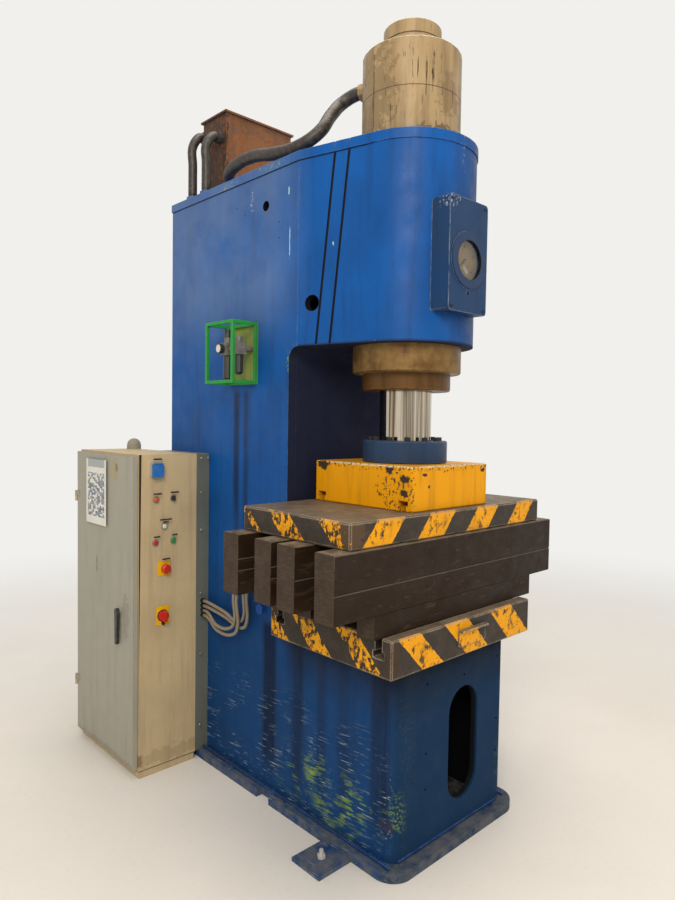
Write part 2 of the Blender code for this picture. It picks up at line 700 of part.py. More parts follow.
def make_head(paints):
    """Bent nose shell with its leaning seams, and the cap plate that closes the head."""
    frame = paints["frame"]
    outline = nose_outline(0) + list(reversed(nose_outline(SHELL_THICK)))
    shell = solid("nose_shell", frame, lambda bm: prism(bm, outline, HEAD_BOTTOM, HEAD_TOP), smooth=20)

    def shell_cuts(bm):
        for side in (-1, 1):
            for place in (SEAM_BOTTOM_REAR, SEAM_BOTTOM_REAR - SEAM_PITCH):
                seam(bm, side, place, 0, HEAD_BOTTOM - OVERRUN, HEAD_TOP + OVERRUN)

    cut(shell, "nose_shell_seams", shell_cuts)
    hole_height = HEAD_BOTTOM + NOSE_HOLE_RISE
    cut(shell, "nose_shell_holes", lambda bm: drum(
        bm, NOSE_HOLE_RADIUS, -BODY_WIDTH, BODY_WIDTH, (0, NOSE_HOLE_REAR, hole_height), "X", MEDIUM))

    half = HALF_WIDTH + CAP_LIP
    rear = BODY_REAR + CAP_LIP
    plan = nose_outline(-CAP_LIP) + [(half, rear), (-half, rear)]
    cap = solid("cap_plate", frame, lambda bm: prism(bm, plan, CAP_BOTTOM, CAP_TOP), smooth=20)

    def cap_cuts(bm):
        drum(bm, BARREL_RADIUS + CLEAR, CAP_BOTTOM - OVERRUN, CAP_TOP + OVERRUN)

    cut(cap, "cap_plate_bore", cap_cuts)

    def lip_cuts(bm):
        for side in (-1, 1):
            for place in (SEAM_BOTTOM_REAR, SEAM_BOTTOM_REAR - SEAM_PITCH):
                seam(bm, side, place, -CAP_LIP, CAP_BOTTOM - OVERRUN, CAP_TOP + OVERRUN)

    cut(cap, "cap_plate_seams", lip_cuts)

    def feet(bm):
        for y in RISER_YS:
            drum(bm, RISER_PORT, CAP_TOP - FUSE, CAP_TOP + FITTING_LENGTH, (RISER_X, y, 0), "Z", SMALL)

    unite(cap, "cap_plate_fittings", feet)


def make_cylinder(paints):
    """Barrel with a closed top, its head, retaining nut and gland, and what the gland holds."""
    outer, edge = BARREL_RADIUS, BARREL_EDGE
    lid = BARREL_TOP - BARREL_LID
    barrel = solid("cylinder_barrel", paints["cylinder"], lambda bm: turned(bm, [
        (0, BARREL_TOP), (outer - edge, BARREL_TOP), (outer, BARREL_TOP - edge), (outer, NUT_BOTTOM),
        (BARREL_BORE, NUT_BOTTOM), (BARREL_BORE, lid), (0, lid)]), smooth=30)

    def port(bm):
        drum(bm, HOSE_PORT, -edge, FITTING_LENGTH, steps=SMALL)
        out = port_direction()
        place = Matrix.Translation(out * outer + Vector((0, 0, PORT_HEIGHT)))
        bm.transform(place @ out.to_track_quat("Z", "Y").to_matrix().to_4x4())

    unite(barrel, "cylinder_barrel_port", port)
    low = BARREL_TOP + CLEAR
    high = low + HEAD_CAP_HEIGHT
    middle = (low + high) / 2
    radius, split = HEAD_CAP_RADIUS, HEAD_CAP_SPLIT
    solid("cylinder_head", paints["cylinder"], lambda bm: turned(bm, [
        (0, low), (radius, low), (radius, middle - split / 2), (radius - split, middle - split / 2),
        (radius - split, middle + split / 2), (radius, middle + split / 2), (radius, high - split),
        (radius - split, high), (0, high)]), smooth=30)
    bore = BARREL_RADIUS + CLEAR
    top = HEAD_BOTTOM - CLEAR
    solid("cylinder_nut", paints["gland"], lambda bm: turned(bm, [
        (bore, top), (NUT_RADIUS, top), (NUT_RADIUS, NUT_BOTTOM + NUT_EDGE),
        (NUT_RADIUS - NUT_EDGE, NUT_BOTTOM), (bore, NUT_BOTTOM)]), smooth=30)
    bush_outer = ROD_RADIUS + RUN + BUSH_THICK
    seat = bush_outer + CLEAR
    lip_radius = ROD_RADIUS + GLAND_LIP / 2
    spigot = BARREL_BORE - CLEAR
    spigot_top = GLAND_TOP + GLAND_SPIGOT
    lip_top = GLAND_BOTTOM + GLAND_LIP
    solid("rod_gland", paints["gland"], lambda bm: turned(bm, [
        (seat, spigot_top), (spigot, spigot_top), (spigot, GLAND_TOP), (GLAND_RADIUS, GLAND_TOP),
        (GLAND_RADIUS, GLAND_BOTTOM + NUT_EDGE), (GLAND_RADIUS - NUT_EDGE, GLAND_BOTTOM),
        (lip_radius, GLAND_BOTTOM), (lip_radius, lip_top), (seat, lip_top)]), smooth=30)
    seal_low = lip_top + CLEAR
    bush_low = seal_low + SEAL_HEIGHT + CLEAR
    ring(paints["seal"], "rod_seal", ROD_RADIUS + RUN, bush_outer, seal_low, seal_low + SEAL_HEIGHT)
    ring(paints["bronze"], "rod_bush", ROD_RADIUS + RUN, bush_outer, bush_low, spigot_top)


def port_direction():
    """Way that the suction port points out of the barrel."""
    return Vector((math.cos(PORT_ANGLE), math.sin(PORT_ANGLE), 0))


def ring(material, name, inner, outer, low, high, steps=BIG):
    """A plain ring round the ram axis."""
    return solid(name, material, lambda bm: turned(
        bm, [(inner, high), (outer, high), (outer, low), (inner, low)], steps=steps), smooth=30)


def make_ram(paints):
    """Rod, piston, bolted flange and the platen that hangs on them."""
    stub_top = PISTON_BOTTOM + CLEAR + PISTON_HEIGHT
    solid("piston_rod", paints["chrome"], lambda bm: turned(bm, [
        (0, stub_top), (ROD_STUB_RADIUS, stub_top), (ROD_STUB_RADIUS, PISTON_BOTTOM),
        (ROD_RADIUS, PISTON_BOTTOM), (ROD_RADIUS, FLANGE_BOTTOM), (0, FLANGE_BOTTOM)]), smooth=30)
    outer = BARREL_BORE - RUN
    bore = ROD_STUB_RADIUS + CLEAR
    low = PISTON_BOTTOM + CLEAR
    groove = PISTON_GROOVE
    profile = [(bore, low + PISTON_HEIGHT), (outer, low + PISTON_HEIGHT)]
    for share in (3 / 4, 1 / 4):
        middle = low + PISTON_HEIGHT * share
        profile += [(outer, middle + groove), (outer - groove, middle + groove),
                    (outer - groove, middle - groove), (outer, middle - groove)]
    profile += [(outer, low), (bore, low)]
    solid("piston", paints["bronze"], lambda bm: turned(bm, profile), smooth=30)
    inner, edge = ROD_RADIUS + CLEAR, FLANGE_EDGE
    flange = solid("rod_flange", paints["flange"], lambda bm: turned(bm, [
        (inner, FLANGE_TOP), (FLANGE_RADIUS - edge, FLANGE_TOP), (FLANGE_RADIUS, FLANGE_TOP - edge),
        (FLANGE_RADIUS, FLANGE_BOTTOM + edge), (FLANGE_RADIUS - edge, FLANGE_BOTTOM),
        (inner, FLANGE_BOTTOM)]), smooth=30)

    def screws(bm):
        for i in range(SCREW_COUNT):
            angle = 2 * math.pi * (i + 0.5) / SCREW_COUNT
            place = (SCREW_CIRCLE * math.cos(angle), SCREW_CIRCLE * math.sin(angle), FLANGE_TOP)
            drum(bm, SCREW_RADIUS, -FUSE, SCREW_HEIGHT, place, steps=SMALL)

    unite(flange, "rod_flange_screws", screws)
    platen = solid("ram_platen", paints["yellow"], lambda bm: block(
        bm, (-PLATEN_WIDTH / 2, -PLATEN_FRONT, PLATEN_BOTTOM),
        (PLATEN_WIDTH / 2, PLATEN_REAR, PLATEN_TOP)), bevel=PLATEN_EDGE)

    def platen_slots(bm):
        for y in (-PLATEN_FRONT + PLATEN_SLOT_INSET, PLATEN_REAR - PLATEN_SLOT_INSET):
            tee(bm, y, PLATEN_BOTTOM, 1, PLATEN_WIDTH / 2 + OVERRUN,
                (SLOT_NECK_WIDTH, SLOT_NECK_DEPTH, SLOT_HEAD_WIDTH, SLOT_HEAD_DEPTH))

    cut(platen, "ram_platen_slots", platen_slots)


def tee(bm, y, face, direction, reach, sizes):
    """Cutter for a T-slot along X that opens through the face at a height."""
    neck_width, neck_depth, head_width, head_depth = sizes
    mouth = face - direction * OVERRUN
    shoulder = face + direction * neck_depth
    end = shoulder + direction * head_depth
    half_neck, half_head = neck_width / 2, head_width / 2
    outline = [(y - half_neck, mouth), (y + half_neck, mouth), (y + half_neck, shoulder),
               (y + half_head, shoulder), (y + half_head, end), (y - half_head, end),
               (y - half_head, shoulder), (y - half_neck, shoulder)]
    prism(bm, outline, -reach, reach, "X")


def bar_outline(middle, heights):
    """End view of the bars of one row, with the groove that their broken edges leave between them."""
    left, right = middle - BAR_WIDTH / 2, middle + BAR_WIDTH / 2
    rising, falling = [], []
    low = SPACER_TOP
    for height in heights:
        high = low + height
        rising += [(right - BAR_EDGE, low), (right, low + BAR_EDGE), (right, high - BAR_EDGE)]
        falling += [(left + BAR_EDGE, low), (left, low + BAR_EDGE), (left, high - BAR_EDGE)]
        low = high
    rising.append((right - BAR_EDGE, low))
    falling.append((left + BAR_EDGE, low))
    return rising + falling[::-1]


def make_tooling(paints):
    """Bolster, spacers, rows of bars and the striped upper plate."""
    bolster = solid("bolster", paints["stripe"], lambda bm: block(
        bm, (-BOLSTER_WIDTH / 2, -BOLSTER_FRONT, BOLSTER_BOTTOM),
        (BOLSTER_WIDTH / 2, BOLSTER_REAR, BOLSTER_TOP)),
        bevel=BOLSTER_EDGE)

    def bolster_slots(bm):
        for y in (-BOLSTER_FRONT + BOLSTER_SLOT_INSET, BOLSTER_REAR - BOLSTER_SLOT_INSET):
            tee(bm, y, BOLSTER_TOP, -1, BOLSTER_WIDTH / 2 + OVERRUN,
                (DEEP_NECK_WIDTH, DEEP_NECK_DEPTH, DEEP_HEAD_WIDTH, DEEP_HEAD_DEPTH))

    cut(bolster, "bolster_slots", bolster_slots)

    face = -BOLSTER_FRONT - CLEAR
    top = BOLSTER_TOP - BRACKET_DROP
    angle = [(face, top), (face - BRACKET_REACH, top), (face - BRACKET_REACH, top - BRACKET_THICK),
             (face - BRACKET_THICK, top - BRACKET_THICK), (face - BRACKET_THICK, top - BRACKET_LEG),
             (face, top - BRACKET_LEG)]
    solid("bolster_bracket", paints["dark_steel"], lambda bm: prism(
        bm, angle, BRACKET_OFFSET - BRACKET_WIDTH / 2, BRACKET_OFFSET + BRACKET_WIDTH / 2, "X"))

    for row, (middle, heights) in BAR_ROWS.items():
        stack = solid("bars_" + row, paints["bar"], lambda bm: prism(
            bm, bar_outline(middle, heights), -BAR_LENGTH / 2, BAR_LENGTH / 2, "X"))
        unite(stack, "bars_%s_spacer" % row, lambda bm: block(
            bm, (SPACER_OFFSET - SPACER_LENGTH / 2, middle - SPACER_WIDTH / 2, SPACER_BOTTOM),
            (SPACER_OFFSET + SPACER_LENGTH / 2, middle + SPACER_WIDTH / 2, SPACER_TOP + FUSE)))
    solid("upper_plate", paints["stripe"], lambda bm: block(
        bm, (-PLATE_WIDTH / 2, -PLATE_FRONT, PLATE_BOTTOM),
        (PLATE_WIDTH / 2, PLATE_REAR, PLATE_TOP)), bevel=PLATE_EDGE)


def make_gauge(paints):
    """Housing on the nose with a round gauge, its cover ring, dial and pointer."""
    x0 = HOUSING_OFFSET - HOUSING_WIDTH / 2
    x1 = HOUSING_OFFSET + HOUSING_WIDTH / 2
    z0 = HEAD_BOTTOM + HOUSING_RISE
    z1 = z0 + HOUSING_HEIGHT
    face = -HOUSING_FRONT
    centre_z = z0 + GAUGE_RISE
    centre = (HOUSING_OFFSET, 0, centre_z)
    housing = solid("gauge_housing", paints["housing"], lambda bm: prism(
        bm, rounded((x0, z0), (x1, z1), HOUSING_CORNER, 3), face, face + HOUSING_DEPTH, "Y"), smooth=25)
    cut(housing, "gauge_housing_seat", lambda bm: drum(
        bm, NOSE_RADIUS + CLEAR, z0 - OVERRUN, z1 + OVERRUN, steps=SEAT_STEPS))

    def pockets(bm):
        drum(bm, GAUGE_BORE, face - OVERRUN, face + GAUGE_DEPTH, centre, "Y")
        drum(bm, PLUG_RADIUS, face - OVERRUN, face + PLUG_DEPTH, (HOUSING_OFFSET, 0, centre_z - PLUG_DROP),
            "Y", SMALL)

    cut(housing, "gauge_housing_pockets", pockets)
    sunk = -face - FUSE
    unite(housing, "gauge_housing_cover", lambda bm: turned(bm, [
        (COVER_BORE, sunk), (COVER_RADIUS, sunk), (COVER_RADIUS, COVER_THICK - face),
        (COVER_BORE, COVER_THICK - face)],
        centre, "-Y"))
    floor = face + GAUGE_DEPTH - CLEAR
    dial_face = floor - DIAL_THICK
    pivot_end = dial_face - 2 * POINTER_THICK
    rim = GAUGE_BORE - CLEAR
    solid("gauge_dial", paints["dial"], lambda bm: turned(bm, [
        (0, -floor), (rim, -floor), (rim, -dial_face), (PIVOT_RADIUS, -dial_face), (PIVOT_RADIUS, -pivot_end),
        (0, -pivot_end)], centre, "-Y"), smooth=30)

    back = dial_face - CLEAR
    hand = solid("gauge_pointer", paints["black"], lambda bm: turned(bm, [
        (PIVOT_RADIUS + RUN, -back), (POINTER_HUB, -back), (POINTER_HUB, POINTER_THICK - back),
        (PIVOT_RADIUS + RUN, POINTER_THICK - back)], centre, "-Y", SMALL))
    turn = Matrix.Rotation(math.radians(POINTER_REST), 2)

    def blade(bm):
        root = POINTER_HUB * math.cos(math.pi / SMALL) - CLEAR
        half = POINTER_WIDTH / 2
        shapes = ([(root, -half), (POINTER_LENGTH, -half / 4), (POINTER_LENGTH, half / 4), (root, half)],
                  [(-root, half), (-POINTER_TAIL, half), (-POINTER_TAIL, -half), (-root, -half)])
        for shape in shapes:
            points = [turn @ Vector(point) for point in shape]
            prism(bm, [(centre[0] + p.x, centre[2] + p.y) for p in points], back - POINTER_THICK, back, "Y")

    unite(hand, "gauge_pointer_blade", blade)
    set_origin(hand, centre)
    glass = sunk - CLEAR - GLASS_THICK
    solid("gauge_glass", paints["glass"],
        lambda bm: drum(bm, rim, glass, glass + GLASS_THICK, centre, "-Y"), smooth=30)


def unite(obj, name, build):
    """Join a hidden tool's shape to a solid."""
    cut(obj, name, build)
    obj.modifiers[name].operation = "UNION"
    return obj


def tube(name, material, points, radius, resolution=2):
    """A hose or cable along a smooth curve through hand-picked points."""
    curve = bpy.data.curves.new(name, "CURVE")
    curve.dimensions = "3D"
    curve.bevel_depth = radius
    curve.bevel_resolution = resolution
    curve.use_fill_caps = True
    curve.materials.append(material)
    fine = smooth_route(points, max(ROUTE_STEP, ROUTE_RADII * radius))
    spline = curve.splines.new("POLY")
    spline.points.add(len(fine) - 1)
    for point, place in zip(spline.points, fine):
        point.co = (*place, 1.0)
    obj = bpy.data.objects.new(name, curve)
    bpy.context.scene.collection.objects.link(obj)
    return obj


def smooth_route(points, spacing):
    """Catmull-Rom curve at an even spacing between two straight ends."""
    points = [Vector(p) for p in points]
    dense = []
    for i in range(1, len(points) - 2):
        p0, p1, p2, p3 = points[i - 1:i + 3]
        for step in range(12):
            t = step / 12
            dense.append(0.5 * (2 * p1 + (p2 - p0) * t + (2 * p0 - 5 * p1 + 4 * p2 - p3) * t * t
                                + (3 * p1 - p0 - 3 * p2 + p3) * t * t * t))
    dense.append(points[-2])
    lengths = [0.0]
    for a, b in zip(dense, dense[1:]):
        lengths.append(lengths[-1] + (b - a).length)
    count = max(3, round(lengths[-1] / spacing))
    route = [points[0]]
    index = 0
    for step in range(count + 1):
        target = lengths[-1] * step / count
        while index < len(dense) - 2 and lengths[index + 1] < target:
            index += 1
        span = lengths[index + 1] - lengths[index]
        share = (target - lengths[index]) / span if span else 0
        route.append(dense[index].lerp(dense[index + 1], min(1, max(0, share))))
    return route + [points[-1]]


def make_tank(paints):
    """Oil tank on the cap plate, two riser hoses into its side and the suction hose to the barrel."""
    half = TANK_WIDTH / 2
    low = CAP_TOP + CLEAR
    rear = TANK_FRONT + TANK_DEPTH
    top = low + TANK_HEIGHT
    over = TANK_LID_OVERHANG
    riser_tops = (top - 4 * RISER_PORT, top - 3 * RISER_PORT)
    suction = (-half + SUCTION_INSET, 0, CAP_TOP + 2 * HOSE_PORT)
    suction_end = TANK_FRONT - FITTING_LENGTH
    tank = solid("oil_tank", paints["rust"],
        lambda bm: block(bm, (-half, TANK_FRONT, low), (half, rear, top)))
    unite(tank, "oil_tank_lid", lambda bm: block(
        bm, (-half - over, TANK_FRONT - over, top - FUSE), (half + over, rear + over, top + TANK_LID_THICK)))
    fitting_end = -half - FITTING_LENGTH

    def fittings(bm):
        drum(bm, HOSE_PORT, suction_end, TANK_FRONT + FUSE, suction, "Y", SMALL)
        for y, height in zip(RISER_YS, riser_tops):
            drum(bm, RISER_PORT, fitting_end, -half + FUSE, (0, y, height), "X", SMALL)

    unite(tank, "oil_tank_fittings", fittings)
    hose_x = fitting_end - CLEAR
    foot = CAP_TOP + FITTING_LENGTH + CLEAR
    bend = 2.5 * RISER_RADIUS
    for name, y, height in zip(("tank_hose_front", "tank_hose_rear"), RISER_YS, riser_tops):
        tube(name, paints["hose"], [
            (RISER_X, y, foot), (RISER_X, y, foot + bend), (RISER_X, y, (foot + height) / 2),
            (RISER_X, y, height - bend), (hose_x - RISER_RADIUS / 2, y, height),
            (hose_x, y, height)], RISER_RADIUS)
    out = port_direction()
    end = out * (BARREL_RADIUS + FITTING_LENGTH + CLEAR)
    first = suction_end - CLEAR
    tube("suction_hose", paints["hose"],
         [(suction[0], first, suction[2]), (suction[0], first - HOSE_RADIUS / 2, suction[2])]
         + [(x, y, CAP_TOP + rise) for x, y, rise in SUCTION_ROUTE]
         + [(*(end + out * HOSE_RADIUS / 2).xy, PORT_HEIGHT), (*end.xy, PORT_HEIGHT)], HOSE_RADIUS, 3)


def make_air_unit(paints):
    """Filter and regulator in front of a back plate, inside a welded guard of square bar."""
    side = -HALF_WIDTH - CLEAR
    rear = CAGE_FRONT + CAGE_LENGTH
    top = CAGE_BOTTOM + CAGE_HEIGHT
    back = side - CAGE_BACK_THICK
    solid("guard_back", paints["olive"],
        lambda bm: block(bm, (back, CAGE_FRONT, CAGE_BOTTOM), (side, rear, top)))

    low = Vector((back - CLEAR - CAGE_REACH, CAGE_FRONT, CAGE_BOTTOM))
    high = Vector((back - CLEAR, rear, top))
    bar = Vector((CAGE_BAR, CAGE_BAR, CAGE_BAR))
    cage = solid("guard_cage", paints["green"], lambda bm: block(bm, low, high))
    cut(cage, "guard_cage_inside", lambda bm: block(bm, low + bar, high - bar))
    for index in range(3):
        start, end = low + bar, high - bar
        start[index] = low[index] - OVERRUN
        end[index] = high[index] + OVERRUN
        cut(cage, "guard_cage_window_%d" % index, lambda bm: block(bm, start, end))

    axis_x = side - UNIT_OUT
    block_low = CAGE_BOTTOM + UNIT_BLOCK_RISE
    block_high = block_low + UNIT_BLOCK_HEIGHT
    middle = (block_low + block_high) / 2
    half = UNIT_BLOCK / 2
    first, second = UNIT_REARS

    def blocks(bm):
        for y in UNIT_REARS:
            block(bm, (axis_x - half, y - half, block_low), (axis_x + half, y + half, block_high))

    def bowls(bm):
        radius = UNIT_BOWL_RADIUS
        for y, bowl in zip(UNIT_REARS, UNIT_BOWL_HEIGHTS):
            foot = block_low - bowl
            turned(bm, [(0, block_low + FUSE), (radius, block_low + FUSE), (radius, foot + radius / 2),
                        (radius / 2, foot), (0, foot)], (axis_x, y, 0), "Z", SMALL)
            drum(bm, UNIT_NECK_RADIUS, block_high - FUSE, block_high + UNIT_NECK_HEIGHT, (axis_x, y, 0),
                "Z", SMALL)

    def ports(bm):
        drum(bm, UNIT_PORT_RADIUS, first + half - FUSE, second - half + FUSE, (axis_x, 0, middle), "Y", SMALL)
        for y in UNIT_REARS:
            drum(bm, UNIT_PORT_RADIUS, axis_x + half - FUSE, back - CLEAR, (0, y, middle), "X", SMALL)

    def air_gauge(bm):
        neck = half + AIR_STEM_LENGTH
        turned(bm, [(0, half - FUSE), (AIR_STEM_RADIUS, half - FUSE), (AIR_STEM_RADIUS, neck),
                    (AIR_GAUGE_RADIUS, neck),
                    (AIR_GAUGE_RADIUS, neck + AIR_GAUGE_DEPTH), (0, neck + AIR_GAUGE_DEPTH)],
               (axis_x, second, middle), "-X", MEDIUM)

    unit = solid("air_unit", paints["black"], blocks, smooth=30)
    unite(unit, "air_unit_bowls", bowls)
    unite(unit, "air_unit_ports", ports)
    unite(unit, "air_unit_gauge", air_gauge)
    knob_low = block_high + UNIT_NECK_HEIGHT + CLEAR
    knob = solid("regulator_knob", paints["black"], lambda bm: turned(bm, [
        (0, 0), (KNOB_RADIUS, 0), (KNOB_RADIUS, KNOB_HEIGHT * 3 / 4), (KNOB_RADIUS * 3 / 4, KNOB_HEIGHT),
        (0, KNOB_HEIGHT)], steps=SMALL))
    knob.location = (axis_x, second, knob_low)


def set_origin(obj, point):
    """Move an object's origin to a point and leave its shape where it is."""
    point = Vector(point)
    obj.data.transform(Matrix.Translation(-point))
    obj.location = point
    return obj


def make_cabinet(paints):
    """Sheet-metal cabinet on its plinth, the duct that joins it to the frame, and what it holds."""
    low = (SHELL_X0, CABINET_FRONT, PLINTH_HEIGHT)
    high = (CABINET_X1, CABINET_REAR, CABINET_TOP)
    wall, rim, inset = CABINET_WALL, CABINET_RIM, PLINTH_INSET
    shell = solid("cabinet_shell", paints["panel"], lambda bm: block(bm, low, high))
    cut(shell, "cabinet_shell_inside",
        lambda bm: block(bm, [v + wall for v in low], [v - wall for v in high]))
    cut(shell, "cabinet_shell_mouth", lambda bm: block(
        bm, (low[0] - OVERRUN, low[1] + rim, low[2] + rim), (low[0] + 2 * wall, high[1] - rim,
            high[2] - rim)))
    hinge_x, hinge_y = hinge_axis()

    def plates(bm):
        block(bm, (low[0] + inset, low[1] + inset, 0), (high[0] - inset, high[1] - inset, low[2] + FUSE))
        for z in HINGE_HEIGHTS:
            block(bm, (hinge_x, CABINET_REAR - FUSE, z),
                  (low[0] + rim, CABINET_REAR + HINGE_LEAF, z + HINGE_LENGTH / 2 - RUN))
        for place, height in ((ESTOP_PLACE, PLATE_SIDE), (MAIN_PLACE, MAIN_PLATE_HEIGHT)):
            x = CABINET_X0 + place[0]
            block(bm, (x - PLATE_SIDE / 2, PANEL_Y - DEVICE_PLATE_THICK, place[1] - height / 2),
                  (x + PLATE_SIDE / 2, PANEL_Y + FUSE, place[1] + height / 2))

    def rounds(bm):
        for z in HINGE_HEIGHTS:
            half = HINGE_LENGTH / 2
            turned(bm, [(0, 0), (HINGE_RADIUS, 0), (HINGE_RADIUS, half), (HINGE_PIN, half),
                        (HINGE_PIN, HINGE_LENGTH),
                        (0, HINGE_LENGTH)], (hinge_x, hinge_y, z), "Z", SMALL)
        at = (CABINET_X1 - TOP_GLAND_PLACE[0], CABINET_FRONT + TOP_GLAND_PLACE[1], CABINET_TOP)
        radius, straight = TOP_GLAND_RADIUS, TOP_GLAND_HEIGHT - TOP_GLAND_RADIUS
        dome = [(radius * math.cos(math.radians(a)),
            straight + radius * math.sin(math.radians(a))) for a in (0, 30, 60)]
        turned(bm, [(0, -FUSE), (radius, -FUSE)] + dome + [(0, TOP_GLAND_HEIGHT)], at, "Z", MEDIUM)
        for place, radius, height, _, _ in DEVICES:
            turned(bm, [(0, -SLEEVE_DEPTH), (SLEEVE_RADIUS, -SLEEVE_DEPTH), (SLEEVE_RADIUS, -FUSE),
                        (radius, -FUSE), (radius, height), (0, height)],
                   (CABINET_X0 + place[0], PANEL_Y, place[1]), "-Y", MEDIUM)
        at = (CABINET_X0 + MAIN_PLACE[0], PANEL_Y, MAIN_PLACE[1] - PADLOCK_DROP)
        drum(bm, PADLOCK_RADIUS, -FUSE, PADLOCK_LENGTH, at, "-Y", SMALL)

    def contacts(bm):
        half = CONTACT_SIDE / 2
        start = PANEL_Y + SLEEVE_DEPTH - FUSE
        for place in PANEL_PLACES:
            x = CABINET_X0 + place[0]
            block(bm, (x - half, start, place[1] - half), (x + half, start + CONTACT_DEPTH, place[1] + half))

    def bores(bm):
        stem = BUTTON_STEM + RUN
        for place, _, height, bore, floor in DEVICES:
            turned(bm, [(0, FUSE - SLEEVE_DEPTH), (stem, FUSE - SLEEVE_DEPTH), (stem, floor), (bore, floor),
                        (bore, height + OVERRUN), (0, height + OVERRUN)],
                   (CABINET_X0 + place[0], PANEL_Y, place[1]), "-Y", MEDIUM)

    unite(shell, "cabinet_shell_plates", plates)
    unite(shell, "cabinet_shell_rounds", rounds)
    unite(shell, "cabinet_shell_contacts", contacts)
    cut(shell, "cabinet_shell_bores", bores)

    duct = solid("cable_duct", paints["duct"], lambda bm: block(
        bm, (high[0] + CLEAR, CABINET_FRONT, BASE_TOP), (-HALF_WIDTH - CLEAR, BODY_REAR, CABINET_TOP)))

    def duct_glands(bm):
        for height in CABLE_STARTS:
            drum(bm, CABLE_GLAND_RADIUS, CABINET_FRONT - CABLE_GLAND_LENGTH, CABINET_FRONT + FUSE,
                 (-HALF_WIDTH - CABLE_OUT, 0, height), "Y", SMALL)

    unite(duct, "cable_duct_glands", duct_glands)
    make_switchgear(paints, low, high)
    make_door(paints, low, high)


def hinge_axis():
    """Plan position of the door's hinge pins."""
    return CABINET_X0 - HINGE_LEAF / 2, CABINET_REAR + HINGE_LEAF / 2


def make_switchgear(paints, low, high):
    """Mounting plate with its spacers, rails and trunking, and three rows of devices on the rails."""
    back = high[0] - CABINET_WALL - CLEAR
    front = back - BACKPLATE_STANDOFF
    face = front - BACKPLATE_THICK
    y0, y1 = low[1] + BACKPLATE_MARGIN, high[1] - BACKPLATE_MARGIN
    z0, z1 = low[2] + BACKPLATE_MARGIN, high[2] - BACKPLATE_MARGIN
    corner = BACKPLATE_MARGIN / 2
    middle, width = (y0 + y1) / 2, y1 - y0
    half = width * TRUNKING_SPAN_SHARE / 2
    plate = solid("mounting_plate", paints["zinc"], lambda bm: block(bm, (face, y0, z0), (front, y1, z1)))

    def fixtures(bm):
        for y in (y0 + corner, y1 - corner):
            for z in (z0 + corner, z1 - corner):
                drum(bm, HANDLE_PIVOT_RADIUS, front - FUSE, back, (0, y, z), "X", SMALL)
        for height in RAIL_HEIGHTS:
            block(bm, (face - RAIL_DEPTH, middle - half, height - RAIL_HEIGHT / 2),
                  (face + FUSE, middle + half, height + RAIL_HEIGHT / 2))
        for height in TRUNKING_HEIGHTS:
            block(bm, (face - TRUNKING_DEPTH, middle - half, height),
                (face + FUSE, middle + half, height + TRUNKING_HEIGHT))

    unite(plate, "mounting_plate_fixtures", fixtures)
    seat = face - RAIL_DEPTH - CLEAR
    for name, height, count, share in zip(("switchgear_low", "switchgear_middle", "switchgear_high"),
                                          RAIL_HEIGHTS, DEVICE_COUNTS, DEVICE_SPAN_SHARES):
        span = width * share
        tall = DEVICE_HEIGHT / 2
        row = solid(name, paints["grey_plastic"], lambda bm: block(
            bm, (seat - DEVICE_DEPTH, middle - span / 2, height - tall),
            (seat, middle + span / 2, height + tall)))

        def gaps(bm):
            for i in range(1, count):
                y = middle - span / 2 + span * i / count
                block(bm, (seat - DEVICE_DEPTH - OVERRUN, y - DEVICE_GAP / 2, height - tall - OVERRUN),
                      (seat - DEVICE_DEPTH / 3, y + DEVICE_GAP / 2, height + tall + OVERRUN))

        cut(row, name + "_gaps", gaps)


